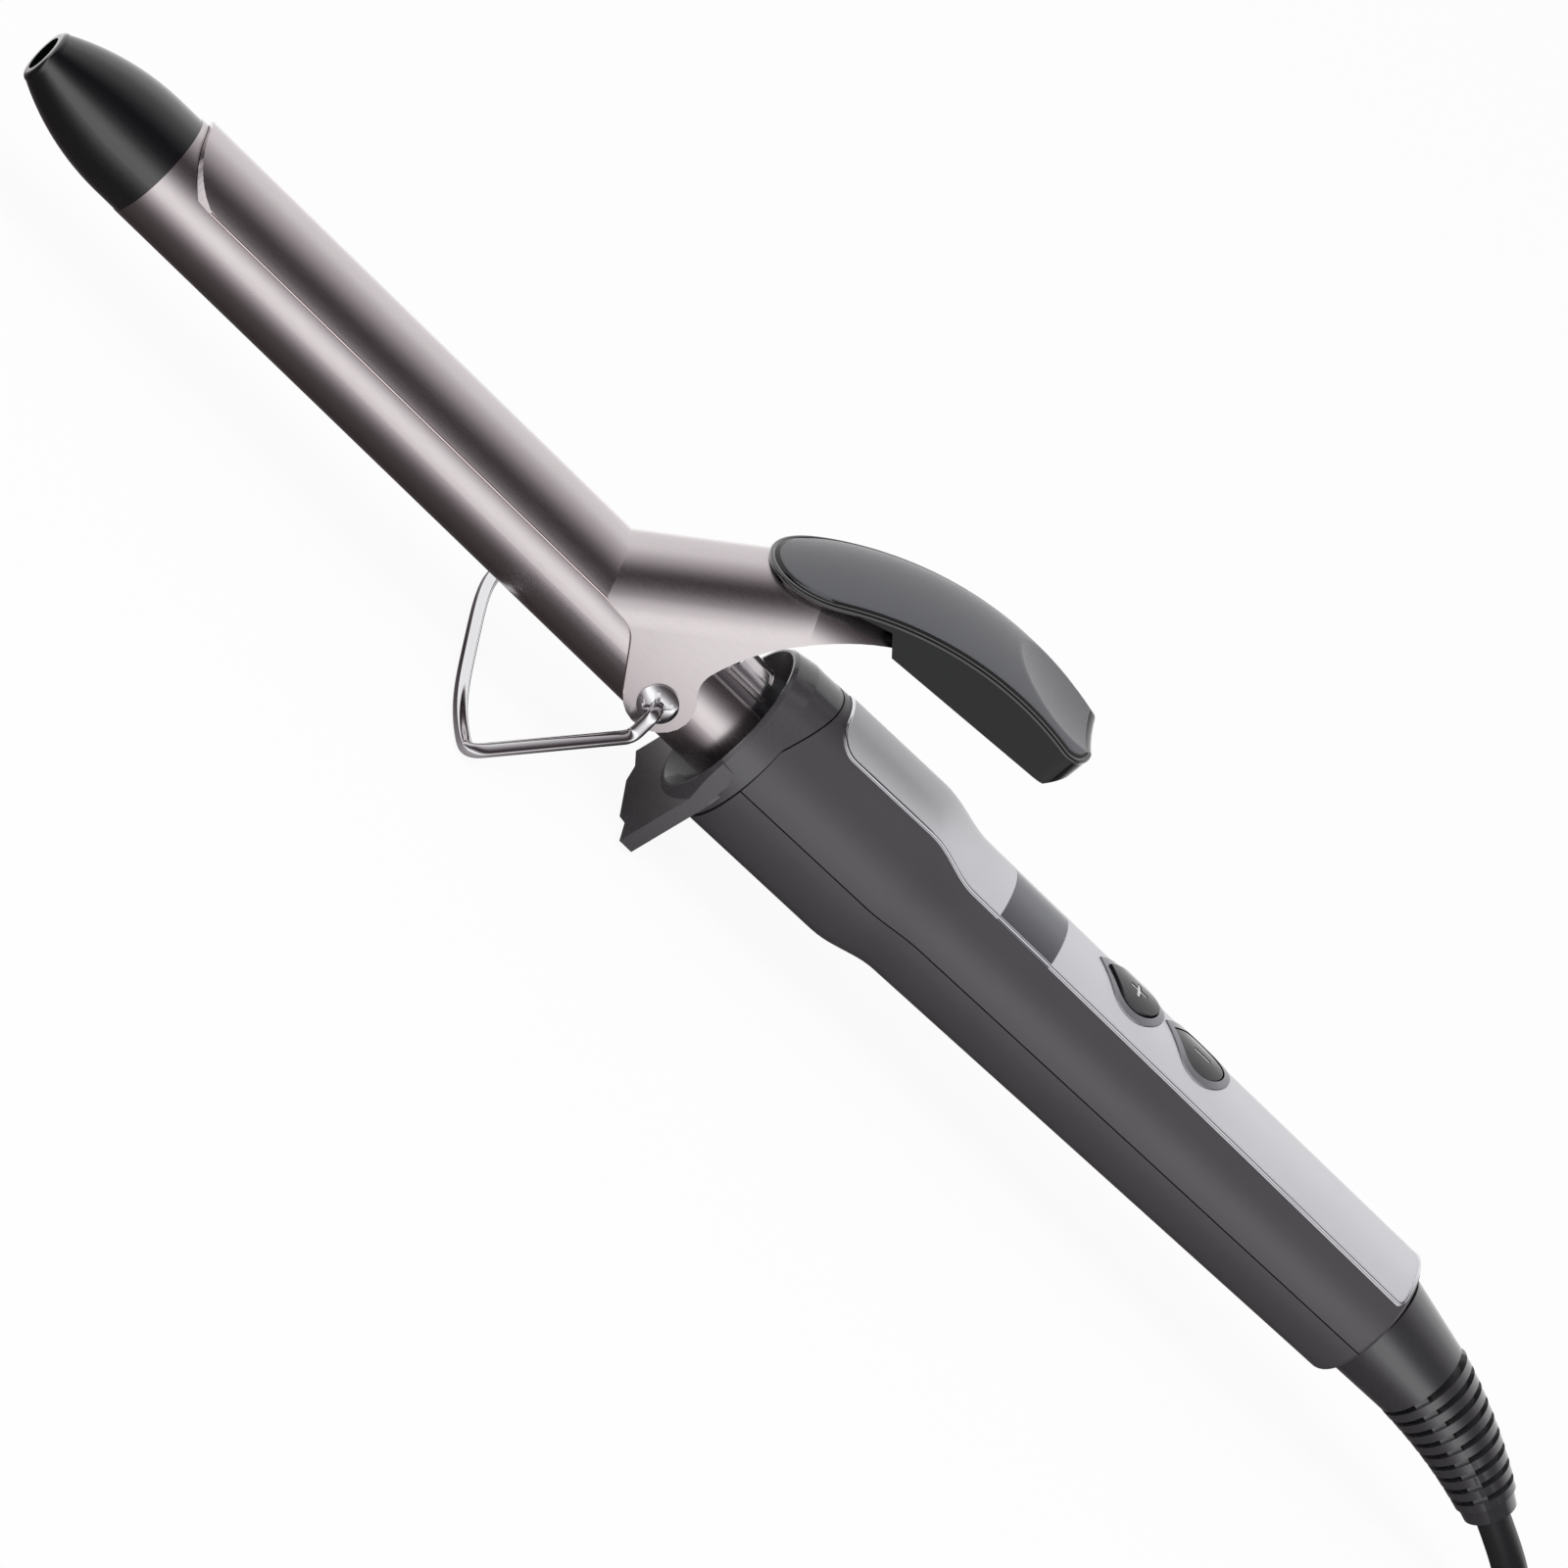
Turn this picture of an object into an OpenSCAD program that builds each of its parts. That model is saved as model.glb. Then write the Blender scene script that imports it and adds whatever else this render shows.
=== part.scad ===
// Curling iron: heated barrel, sprung clamp with a thumb rest, folding wire stand, guard foot,
// two-part handle with a silver control strip, temperature window, two buttons and a mains lead.
// Millimetres. X runs along the barrel to the lead, Y across it, Z up. The table is z = 0, and the
// origin is the middle of the guard foot's flat bottom.

/* [Barrel] */
// outside diameter of the heated barrel
barrel_d = 19; // [17:0.5:21]
// wall of the barrel tube
barrel_wall = 1; // [0.8:0.1:1.4]
// distance from the foot to the barrel's front edge
barrel_reach = 126; // [100:1:160]
// height of the barrel's axis over the table
axis_h = 22; // [20:0.5:26]
// length of the cool tip
tip_len = 24.2; // [20:0.2:32]
// diameter of the tip's flat nose
tip_nose_d = 9.6; // [9:0.2:12]
// diameter of the blind bore in the tip
tip_bore_d = 6.2; // [4.5:0.1:6.8]

/* [Clamp] */
// thickness of the clamp's sheet metal
sheet = 0.75; // [0.6:0.05:1]
// air between the closed spoon and the barrel
clamp_gap = 0.15; // [0.1:0.05:0.3]
// how much of the barrel the spoon covers, in degrees
spoon_cover = 136; // [110:2:150]
// air between the spoon's end and the tip
spoon_setback = 1.2; // [0.8:0.2:6]
// rise of the lever behind the bend, in degrees
lever_tilt = 40; // [38:0.5:42]
// rise of the lever's tail inside the thumb rest, in degrees
tail_tilt = 16; // [12:1:20]
// radius of the ears round the pivot
ear_r = 5.7; // [5.4:0.1:6.2]
// length of the thumb rest
thumb_len = 56; // [50:1:60]
// how far the thumb rest stands out beside the lever
thumb_lip = 0.9; // [0.6:0.1:1.6]

/* [Stand] */
// diameter of the stand's wire
wire_d = 2.3; // [1.8:0.1:2.6]
// width of the stand between the middles of its corners
stand_w = 65; // [56:1:74]
// distance from the pivot forward to the crossbar
stand_reach = 20.5; // [18:0.5:24]

/* [Handle] */
// diameter of the handle's swollen front
swell_d = 30.4; // [29.6:0.2:33]
// diameter at the waist behind the swelling
waist_d = 26.4; // [25.6:0.2:28]
// diameter at the rear end
rear_d = 23.8; // [23:0.2:26]
// length of the handle behind the collar joint
handle_len = 138.4; // [132:0.4:150]
// wall of the handle shells
shell_wall = 2.2; // [1.8:0.1:2.6]
// upward lean of the handle against the barrel, in degrees
handle_lean = 1.2; // [0:0.2:1.4]
// groove between the shells, and between collar and shells
seam_gap = 0.25; // [0.15:0.05:0.4]

/* [Guard] */
// width of the guard foot
foot_w = 30; // [26:0.5:34]
// thickness of the guard foot
foot_t = 2.6; // [2:0.1:3.4]

/* [Controls] */
// width of the silver strip
strip_w = 17.6; // [16:0.2:19]
// thickness of the silver strip
strip_t = 1.5; // [1.2:0.1:1.8]
// length of the temperature window
window_len = 11.5; // [8:0.5:13]
// radius of the buttons' round ends
button_r = 4.6; // [4:0.1:5]
// distance from a button's middle to its point
button_point = 6.4; // [5.6:0.1:7]
// height of the plus button over the strip
plus_rise = 0.9; // [0.4:0.1:1.4]
// height of the minus button over the strip
minus_rise = 0.35; // [0.2:0.05:1]
// travel of the buttons
button_travel = 0.8; // [0.4:0.1:1]

/* [Lead] */
// diameter of the mains lead
cord_d = 5.8; // [5:0.1:6.4]
// length of the strain relief behind the handle
relief_len = 41; // [34:1:44]
// ribs on the strain relief
rib_count = 9; // [7:1:10]

/* [Hidden] */

$fn = 96;
small_fn = 48;
drop_steps = 16;
arc_steps = 12;
far = 400;
fit = 0.05;
play = 0.15;

barrel_r = barrel_d / 2;
bore_r = barrel_r - barrel_wall;
barrel_front = -barrel_reach;
barrel_back = 14;

// tip
tip_r = barrel_r - 0.1;
tip_front = barrel_front - tip_len;
tip_straight = 4;
tip_edge_r = 1;
tip_bore_deep = 15;
spigot_len = 8;

// clamp: a half tube that bends up at the lever and again inside the thumb rest
clamp_in = barrel_r + clamp_gap;
clamp_r = clamp_in + sheet;
pivot = [-13.9, -2.2];
spoon_edge = clamp_r * cos(spoon_cover / 2);
spoon_end = barrel_front + spoon_setback;
bend_at = [-30.3, 0];
lever_run = 32.5;
tail_at = bend_at + lever_run * [cos(lever_tilt), sin(lever_tilt)];
tail_len = 24;
cut_end = 66;
cut_steps = 30;
tail_step = 0.12;
ear_slope = 52;
ear_pin_d = 4.2;
cut_r = 32.6;
cut_at = pivot + [34.1, 4.3];
corner_web_r = 5;
ear_web_r = 5;
ear_at = pivot + [-0.3, 0.7];
spoon_nose = 14;
spoon_nose_power = 3;
spoon_nose_steps = 24;
ear_y = clamp_r;

// thumb rest: a crowned arc over the lever
thumb_w = 2 * (clamp_r + thumb_lip);
thumb_front = -18.2;
thumb_back = thumb_front + thumb_len;
thumb_arc_r = 58.8;
thumb_crest = 42.3;
thumb_arc_at = [24, thumb_crest - thumb_arc_r];
thumb_crown_r = 25;
thumb_nose_r = thumb_w / 2;
thumb_end_r = 5;
thumb_roof = 3;
thumb_low = 32;
dish_r = 51;
dish_deep = 2.4;
dish_back = 12;
dish_tilt = 6;
screw_reach = 7;
thumb_height = 18;
thumb_under = [[0, 24.5], [9, 29.6], [19, 33.2]];
clamp_top = 60;
thumb_screw_x = 12;

// pivot screws
head_d = 6.6;
head_t = 1.5;
head_y = ear_y + fit;
thread_d = 3.4;
thread_end = 4.5;
wire_seat = 3;
wire_end_y = head_y + head_t - wire_seat + 0.2;

// stand: the wire's middle line on the near side
wire_r = wire_d / 2;
leg_y = head_y + head_t + wire_r + 0.25;
kink_drop = 5.4;
stand_low = wire_r - axis_h;
corner_cut = 3.6;
crossbar_bow = 2.9;
bow_steps = 4;

// handle
collar_joint = 3.6;
swell_r = swell_d / 2;
waist_r = waist_d / 2;
rear_r = rear_d / 2;
swell_end = 31;
waist_x = 43;
handle_end = collar_joint + handle_len;
rear_round = 1.2;
seam_z = -1.2;
cavity_front = 12;
cavity_back = handle_end - 3;
lobe_r = 21.6;
lobe_back = 8.2;

// collar and guard foot
collar_front = -1.7;
collar_front_r = swell_r - 0.6;
hub_r = swell_r - 1.1;
flare_r = swell_r + 1.1;
flare_x = -0.6;
funnel_r = swell_r - 1.5;
funnel_back = 3.4;
funnel_small_r = barrel_r + 1.3;
spring_pocket = 6.2;
spigot_back = 11;
spigot_r = swell_r - shell_wall - 0.1;
foot_lean = 8.2;
foot_ahead = 1.1;
foot_flat_w = 12;
foot_shoulder = 6.4;
foot_notch_y = 9.5;
foot_notch = 1.3;
foot_tip = 0.9;

// spring
saddle_t = 0.5;
saddle_cover = 96;
saddle_front = -11.5;
saddle_back = 5.6;
leaf_w = 8;
leaf_t = 0.5;
hairpin_r = 2.2;
leaf_tilt = 65;
leaf_len = 17;
leaf_root = 3;
slot_turn = 35;
slot_w = 1;

// control strip
strip_front = 10;
strip_back = handle_end - 1;
strip_corner_r = 1;
strip_nose_r = 4;
strip_proud = 0.25;
window_front = 48.4;
window_back = window_front + window_len;
plus_x = 75.5;
minus_x = 90.5;
bezel_w = 1.3;
bezel_proud = 0.5;
button_gap = 0.25;
flange_w = 0.7;
flange_t = 1;
stem_d = 3;
mark_len = 3.6;
mark_w = 0.8;
mark_deep = 0.25;

// board and what stands on it
board_t = 1.6;
board_w = 17;
board_front = 44;
board_back = handle_end - 30;
board_top = 4.2;
switch_w = 6;
display_w = 10;
display_top = 8.6;

// case screws
post_x = [24, handle_end - 20];
post_d = 6;
screw_d = 2.6;
screw_head_d = 5;
screw_sink = 3;

// heater
block_front = barrel_front + 12;
block_back = -26;
block_r = bore_r - play;
slot_h = 4.4;
slot_y = 10.4;
lead_d = 1.3;
lead_y = 4;

// strain relief: a chain of short cones on a drooping arc
relief_d = 19.6;
relief_end_d = 9.4;
relief_start_dip = 2;
relief_end_dip = 25;
relief_smooth = 0.34;
relief_ring = 0.07;
relief_flange_r = relief_d / 2 + 0.8;
flange_seat = 2;
rib_gap_share = 0.4;
spine_w = 2.4;

// where the handle's end is, in the table's frame
end_z = axis_h + handle_len * sin(handle_lean);
end_x = foot_ahead + collar_joint + handle_len * cos(handle_lean);

function dip(share) = relief_start_dip + (relief_end_dip - relief_start_dip) * share;
function relief_point(share) =
    let (turn = dip(share) - relief_start_dip, r = relief_len / ((relief_end_dip - relief_start_dip) * PI / 180))
    [
        end_x + r * (sin(relief_start_dip + turn) - sin(relief_start_dip)),
        0,
        end_z - r * (cos(relief_start_dip) - cos(relief_start_dip + turn))
    ];
function relief_size(share) = relief_d + (relief_end_d - relief_d) * share;

// lead: straight out of the relief, down to the table, a slight turn aside, and round into the coil
cord_r = cord_d / 2;
relief_tip = relief_point(1);
coil_mid_r = 30;
coil_turns_wide = 3;
coil_layers = 5;
coil_w = coil_turns_wide * cord_d;
coil_h = coil_layers * cord_d;
coil_out_r = coil_mid_r + (coil_w - cord_d) / 2;
coil_in_r = coil_mid_r - (coil_w - cord_d) / 2;
LEAD_ROUTE = [
    [188, 0, 12.9], [192, 0, 10.9], [195.5, 0, 8.8], [200, 0, 6.3], [205, 0.42, 4.3], [210, 1.72, 3.2],
    [212.7, 2.8, cord_r], [216.5, 4.6, cord_r], [220.9, 6.7, cord_r]
];
lead_turn = 25;
lead_end = LEAD_ROUTE[len(LEAD_ROUTE) - 1];
coil_at = [lead_end[0] + coil_out_r * sin(lead_turn), lead_end[1] - coil_out_r * cos(lead_turn)];

// the tail rises from the inner turn on top of the coil and runs straight into the plug, which lies on the coil
tail_from = 200;
tail_to = 90;
tail_steps = 12;
plug_t = 13.7;
plug_start = [coil_at[0] + 3, coil_at[1] + coil_in_r, coil_h + plug_t / 2];
function ease(u) = let (c = max(0, min(1, u))) c * c * (3 - 2 * c);
TAIL_ROUTE = concat(
    [for (i = [0 : tail_steps]) let (
        t = i / tail_steps,
        turn = tail_from + (tail_to - tail_from) * t
    ) [
        coil_at[0] + coil_in_r * cos(turn),
        coil_at[1] + coil_in_r * sin(turn),
        coil_h - cord_r + (plug_t / 2 + cord_r) * ease(t)
    ]],
    [plug_start + [0.5, 0, 0]]
);

// tie and plug
tie_w = 8;
tie_turn = 300;
tie_t = 1.2;
tie_gap = 0.6;
plug_len = 36;
plug_w = 26.4;
plug_neck_w = 14;
plug_neck_len = 12;
pin_d = 4;
pin_len = 19;
pin_spread = 18.6;

// ---------------------------------------------------------------- helpers

// raises what is drawn round the barrel's axis to its height over the table
module lift() {
    translate([foot_ahead, 0, axis_h]) children();
}

// the handle's own frame, which leans up a little behind the collar joint
module handle_frame() {
    lift() translate([collar_joint, 0, 0]) rotate([0, -handle_lean, 0]) translate([-collar_joint, 0, 0]) children();
}

// turns a revolved profile, drawn as [radius, x], so that it runs along X
module along_x() {
    rotate([0, 90, 0]) rotate_extrude() children();
}

module rod_x(r, from, to) {
    translate([from, 0, 0]) rotate([0, 90, 0]) cylinder(r = r, h = to - from);
}

module rod_y(r, from, to) {
    translate([0, to, 0]) rotate([90, 0, 0]) cylinder(r = r, h = to - from);
}

// extrudes an outline drawn in X and Z across Y
module across(w) {
    translate([0, w / 2, 0]) rotate([90, 0, 0]) linear_extrude(w) children();
}

// one straight length of wire with a round end, a hair fuller than the wire so that the two cross cleanly
module wire_run(p, q, r) {
    d = q - p;
    translate(p) rotate([0, acos(d[2] / norm(d)), atan2(d[1], d[0])]) cylinder(r = r, h = norm(d), $fn = small_fn);
    translate(q) sphere(r + 0.03, $fn = small_fn);
}

module wire(points, r) {
    for (i = [0 : len(points) - 2]) wire_run(points[i], points[i + 1], r);
}

// points on an arc, for outlines with rounded corners
function arc(at, r, from, to, steps = arc_steps) =
    [for (i = [0 : steps]) let (turn = from + (to - from) * i / steps) at + r * [cos(turn), sin(turn)]];

// a tear drop outline: a round end and two flanks that meet in a point toward -X
module drop(r, point) {
    turn = 180 - acos(r / point);
    step = turn / drop_steps;
    polygon(concat([[-point, 0]], [for (i = [-drop_steps : drop_steps]) r * [cos(step * i), -sin(step * i)]]));
}

// a tube of the lead swept along points, closed at both ends
module swept_tube(points, r, sides) {
    n = len(points);
    function heading(i) = points[min(i + 1, n - 1)] - points[max(i - 1, 0)];
    function side(i) = let (h = heading(i)) [-h[1], h[0], 0] / norm([h[0], h[1]]);
    function rise(i) = let (c = cross(heading(i), side(i))) c / norm(c);
    rings = [
        for (i = [0 : n - 1], k = [0 : sides - 1])
            points[i] + r * (side(i) * cos(360 * k / sides) + rise(i) * sin(360 * k / sides))
    ];
    walls = [
        for (i = [0 : n - 2], k = [0 : sides - 1])
            let (a = i * sides + k, b = i * sides + (k + 1) % sides)
            [a, a + sides, b + sides, b]
    ];
    polyhedron(rings, concat(
        walls,
        [[for (k = [0 : sides - 1]) k]],
        [[for (k = [sides - 1 : -1 : 0]) (n - 1) * sides + k]]
    ));
}

// ---------------------------------------------------------------- barrel

module barrel_tube() {
    color("#b5aeb0") lift() difference() {
        rod_x(barrel_r, barrel_front, barrel_back);
        rod_x(bore_r, barrel_front - 1, barrel_back + 1);
        translate([pivot[0], 0, pivot[1]]) rod_y(thread_d / 2 + fit, -far, far);
    }
}

module tip_profile() {
    rise = tip_r - tip_nose_d / 2;
    run = tip_len - tip_straight - tip_edge_r;
    ogive_r = (run * run + rise * rise) / (2 * rise);
    intersection() {
        translate([tip_r - ogive_r, tip_len - tip_straight]) circle(ogive_r, $fn = 360);
        translate([0, tip_edge_r]) square([tip_r, run + fit]);
    }
    translate([0, tip_len - tip_straight]) square([tip_r, tip_straight]);
    square([tip_nose_d / 2 - tip_edge_r, tip_edge_r + fit]);
    translate([tip_nose_d / 2 - tip_edge_r, tip_edge_r]) circle(tip_edge_r);
    translate([0, tip_len - 1]) square([bore_r - fit, spigot_len + 1]);
}

module tip_cap() {
    color("#1c2121") lift() translate([tip_front, 0, 0]) difference() {
        along_x() tip_profile();
        rod_x(tip_bore_d / 2, -1, tip_bore_deep);
        rod_x(bore_r - 2, tip_bore_deep + 2, tip_len + spigot_len + 1);
    }
}

module heater_block() {
    color("#c4c6c8") lift() difference() {
        rod_x(block_r, block_front, block_back);
        translate([(block_front + block_back) / 2, 0, 0]) cube([far, slot_y, slot_h], center = true);
        translate([block_back - 14, 0, block_r - 2.6]) rotate([0, 90, 0]) cylinder(d = 2.6, h = far, $fn = small_fn);
    }
}

module heater_plate() {
    color("#e6e1d4") lift() translate([(block_front + block_back) / 2, 0, 0])
        cube([block_back - block_front - 8, slot_y - 2 * play, slot_h - 2 * fit], center = true);
}

module temperature_probe() {
    color("#a9743c") lift() translate([block_back - 12, 0, block_r - 2.6])
        rotate([0, 90, 0]) cylinder(d = 2.4, h = 14, $fn = small_fn);
}

module heater_leads() {
    from = [block_back - 4.1 + fit, lead_y, 0];
    to = [board_front - 0.8, lead_y, board_top - board_t / 2 + (board_front - collar_joint) * sin(handle_lean)];
    color("#e8e4da") lift() for (s = [-1, 1]) scale_side(s) translate(from)
        rotate([0, 90 - atan2(to[2], to[0] - from[0]), 0]) cylinder(d = lead_d, h = norm(to - from), $fn = small_fn);
}

module pivot_block() {
    color("#8f9193") lift() difference() {
        rod_x(bore_r - fit, pivot[0] - 5, pivot[0] + 5);
        translate([pivot[0], 0, pivot[1]]) rod_y(thread_d / 2 + fit, -far, far);
        translate([pivot[0], 0, 1.6]) cube([far, 13, 3.6], center = true);
    }
}

module pivot_screws() {
    color("#d9dadb") lift() for (s = [-1, 1]) scale_side(s) translate([pivot[0], 0, pivot[1]]) difference() {
        union() {
            rod_y(thread_d / 2, thread_end, head_y);
            rod_y(ear_pin_d / 2, barrel_r + fit, head_y + fit);
            intersection() {
                rod_y(head_d / 2, head_y, head_y + head_t);
                translate([0, head_y + head_t - 5.4, 0]) sphere(5.4);
            }
        }
        rod_y(wire_r + fit, head_y + head_t - wire_seat, far);
        for (turn = [0, 90]) rotate([0, turn + 45, 0]) translate([0, head_y + head_t, 0])
            cube([4.8, 1.2, 0.9], center = true);
    }
}

// mirrors a piece that is drawn on the +Y side to the side s
module scale_side(s) {
    mirror([0, s < 0 ? 1 : 0, 0]) children();
}

module barrel_bush() {
    color("#d8d2c4") difference() {
        union() {
            handle_frame() rod_x(spigot_r - 2.6, spigot_back + 0.6, barrel_back + 1);
        }
        lift() rod_x(barrel_r + fit, 0, far);
    }
}

// ---------------------------------------------------------------- collar and guard foot

module foot_outline() {
    low = -axis_h;
    half = foot_w / 2;
    side = [
        [foot_flat_w / 2, low], [foot_notch_y, low + foot_notch], [half, low + foot_tip],
        [half, -foot_shoulder], [half - 0.8, -foot_shoulder / 2], [half / 2, 0]
    ];
    polygon(concat(side, [for (i = [len(side) - 1 : -1 : 0]) [-side[i][0], side[i][1]]]));
}

// the part of the collar's outside that runs back in a round lobe under the lever
module lobe_outline(gap) {
    translate([lobe_back - lobe_r, 0]) circle(lobe_r + gap, $fn = 180);
}

module collar_guard() {
    color("#514e51") difference() {
        union() {
            lift() along_x() polygon([
                [0, collar_front], [hub_r, collar_front], [collar_front_r, collar_front + 0.6],
                [swell_r, collar_joint - 1.2], [swell_r, collar_joint], [0, collar_joint]
            ]);
            // lobe on top
            handle_frame() intersection() {
                rod_x(swell_r - fit, collar_joint - 0.6, lobe_back + 1);
                translate([0, 0, 4]) linear_extrude(far) lobe_outline(0);
            }
            // spigot inside the shells
            handle_frame() rod_x(spigot_r, collar_joint - fit, spigot_back);
            // flare between hub and foot, and the leaning foot itself
            lift() intersection() {
                along_x() difference() {
                    polygon([
                        [0, collar_front], [hub_r, collar_front], [flare_r + 1, flare_x + 0.4], [flare_r + 1, 2], [0, 2]
                    ]);
                    translate([flare_r + 1.2, collar_front - 1.1]) circle(1.9);
                }
                translate([-5, -foot_w / 2, -far]) cube([far, foot_w, far]);
            }
            lift() intersection() {
                translate([-foot_ahead - foot_t / 2, 0, -axis_h]) rotate([0, foot_lean, 0]) translate([0, 0, axis_h - 1])
                    rotate([90, 0, 90]) linear_extrude(foot_t) foot_blank();
                translate([-far / 2, 0, 0]) rotate([90, 0, 90]) linear_extrude(far) foot_outline();
            }
        }
        // funnel round the barrel, the spring's pocket and the barrel's bore
        lift() along_x() polygon([
            [0, collar_front - 1], [funnel_r + 1, collar_front - 1], [funnel_r, collar_front],
            [funnel_small_r, funnel_back], [funnel_small_r, spring_pocket], [0, spring_pocket]
        ]);
        lift() rod_x(barrel_r + fit, 0, far);
    }
}

module foot_blank() {
    translate([-foot_w, -far / 2]) square([2 * foot_w, far / 2 + axis_h]);
}

// ---------------------------------------------------------------- clamp

// outline across the clamp, drawn in Y and Z: a half round over straight sides
module channel(r, deep) {
    intersection() {
        circle(r);
        translate([-r, 0]) square([2 * r, r]);
    }
    translate([-r, -deep]) square([2 * r, deep]);
}

// a solid channel along the whole clamp; the tail is a hair narrower, so that it starts inside the lever
module clamp_envelope(r) {
    reach = 80;
    mitre = (lever_tilt + tail_tilt) / 2;
    cut = [-sin(mitre), cos(mitre)] * reach / 2;
    back = tail_at - 0.2 * [cos(mitre), sin(mitre)];
    intersection() {
        rod_x(r, tip_front, bend_at[0] + 4);
        translate([-far, -far / 2, spoon_edge - 0.5]) cube([far, far, far]);
    }
    intersection() {
        translate([bend_at[0], 0, bend_at[1]]) rotate([0, -lever_tilt, 0]) translate([-6, 0, 0])
            rotate([90, 0, 90]) linear_extrude(lever_run + 36) channel(r, 24);
        across(far) polygon([tail_at - cut, tail_at + cut, [tip_front, reach], [tip_front, -reach]]);
    }
    intersection() {
        translate([tail_at[0], 0, tail_at[1]]) rotate([0, -tail_tilt, 0]) translate([-20, 0, 0])
            rotate([90, 0, 90]) linear_extrude(tail_len + 20) channel(r - tail_step, 20);
        across(far) polygon([back - cut, back + cut, [far, reach], [far, -reach]]);
    }
}

// side view of the clamp's lower edge: spoon edge, ear, fillet and the long cut-out behind it
module clamp_outline() {
    down = [cos(ear_slope), -sin(ear_slope)];
    touch = ear_at + ear_r * [-sin(ear_slope), -cos(ear_slope)];
    corner = touch - down * (spoon_edge - touch[1]) / sin(ear_slope);
    corner_at = corner + corner_web_r * [-tan(ear_slope / 2), -1];
    // the fillet between the ear and the cut-out is a circle that touches both
    reach = norm(cut_at - ear_at);
    side = ear_r + ear_web_r;
    open = acos((side * side + reach * reach - (cut_r - ear_web_r) ^ 2) / (2 * side * reach));
    aim = atan2(cut_at[1] - ear_at[1], cut_at[0] - ear_at[0]) + open;
    web_at = ear_at + side * [cos(aim), sin(aim)];
    out = atan2(web_at[1] - cut_at[1], web_at[0] - cut_at[0]);
    polygon(concat(
        [[tip_front, spoon_edge]],
        arc(corner_at, corner_web_r, 90, 90 - ear_slope),
        arc(ear_at, ear_r, 270 - ear_slope, 360 + aim),
        arc(web_at, ear_web_r, 180 + aim, out),
        arc(cut_at, cut_r, out, cut_end, cut_steps),
        [[cut_at[0] + tail_len, clamp_top], [tip_front, clamp_top]]
    ));
}

// the spoon from above: a blunt oval nose, then straight back
module spoon_plan() {
    power = spoon_nose_power;
    half = clamp_r * sin(spoon_cover / 2) + play;
    side = [for (i = [0 : spoon_nose_steps]) let (u = i / spoon_nose_steps)
        [spoon_nose * (1 - pow(1 - pow(u, power), 1 / power)), half * u]];
    polygon(concat(
        side, [[spoon_nose, far], [far, far], [far, -far], [spoon_nose, -far]],
        [for (i = [spoon_nose_steps : -1 : 1]) [side[i][0], -side[i][1]]]
    ));
}

module clamp_lever() {
    color("#b8b0b2") lift() difference() {
        intersection() {
            clamp_envelope(clamp_r);
            across(far) clamp_outline();
            translate([spoon_end, 0, 0]) linear_extrude(far, center = true) spoon_plan();
        }
        clamp_envelope(clamp_in);
        translate([pivot[0], 0, pivot[1]]) rod_y(ear_pin_d / 2 + fit, -far, far);
        translate([thumb_screw_x, 0, 0]) cylinder(d = screw_d + 2 * fit, h = far, $fn = small_fn);
    }
}

module thumb_outline() {
    polygon(concat(
        [for (p = thumb_under) [thumb_front + p[0], p[1]]],
        [
            [thumb_front + 22, thumb_low - 1.8], [thumb_back - 3, thumb_low + 0.6], [thumb_back, thumb_low + 4],
            [thumb_back, clamp_top], [thumb_front, clamp_top]
        ]
    ));
}

module thumb_plan() {
    half = thumb_w / 2;
    back = thumb_back - thumb_end_r;
    polygon(concat(
        arc([back, half - thumb_end_r], thumb_end_r, 0, 90),
        arc([thumb_front + thumb_nose_r, 0], thumb_nose_r, 90, 270),
        arc([back, thumb_end_r - half], thumb_end_r, 270, 360)
    ));
}

// a crowned arc swept round the thumb rest's centre of curvature
module thumb_sweep(r, w, crown) {
    translate([thumb_arc_at[0], 0, thumb_arc_at[1]]) rotate([90, 0, 0]) rotate_extrude($fn = 180) intersection() {
        translate([r - crown, 0]) circle(crown, $fn = 180);
        translate([r - thumb_height, -w / 2]) square([thumb_height, w]);
    }
}

module thumb_rest() {
    color("#2c2f30") lift() difference() {
        intersection() {
            thumb_sweep(thumb_arc_r, thumb_w, thumb_crown_r);
            across(thumb_w + 1) thumb_outline();
            linear_extrude(far) thumb_plan();
        }
        clamp_envelope(clamp_r + fit);
        // hollow behind the lever's tail
        intersection() {
            thumb_sweep(thumb_arc_r - thumb_roof, 2 * clamp_in, thumb_crown_r);
            translate([tail_at[0] + 5, -clamp_in, 0]) cube([thumb_back - tail_at[0] - 7.5, 2 * clamp_in, far]);
        }
        // dish for the thumb
        translate([thumb_back - dish_back, 0, 0]) rotate([0, dish_tilt, 0])
            translate([0, 0, thumb_crest + dish_r - dish_deep]) rotate([0, -90, 0])
                sphere(dish_r, $fn = 180);
        translate([thumb_screw_x, 0, 0]) cylinder(d = screw_d + 2 * fit, h = thumb_low + screw_reach + 0.6, $fn = small_fn);
    }
}

module thumb_screw() {
    color("#8d8f90") lift() translate([thumb_screw_x, 0, 0]) {
        top = thumb_low + screw_reach;
        cylinder_between(screw_d / 2, 34.2, top);
        difference() {
            cylinder_between(screw_head_d / 2, 32.4, 34.25);
            for (turn = [0, 90]) rotate([0, 0, turn]) translate([0, 0, 32.4]) cube([3.2, 0.8, 1.6], center = true);
        }
    }
}

module cylinder_between(r, from, to) {
    translate([0, 0, from]) cylinder(r = r, h = to - from, $fn = small_fn);
}

// ---------------------------------------------------------------- clamp spring

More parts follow.
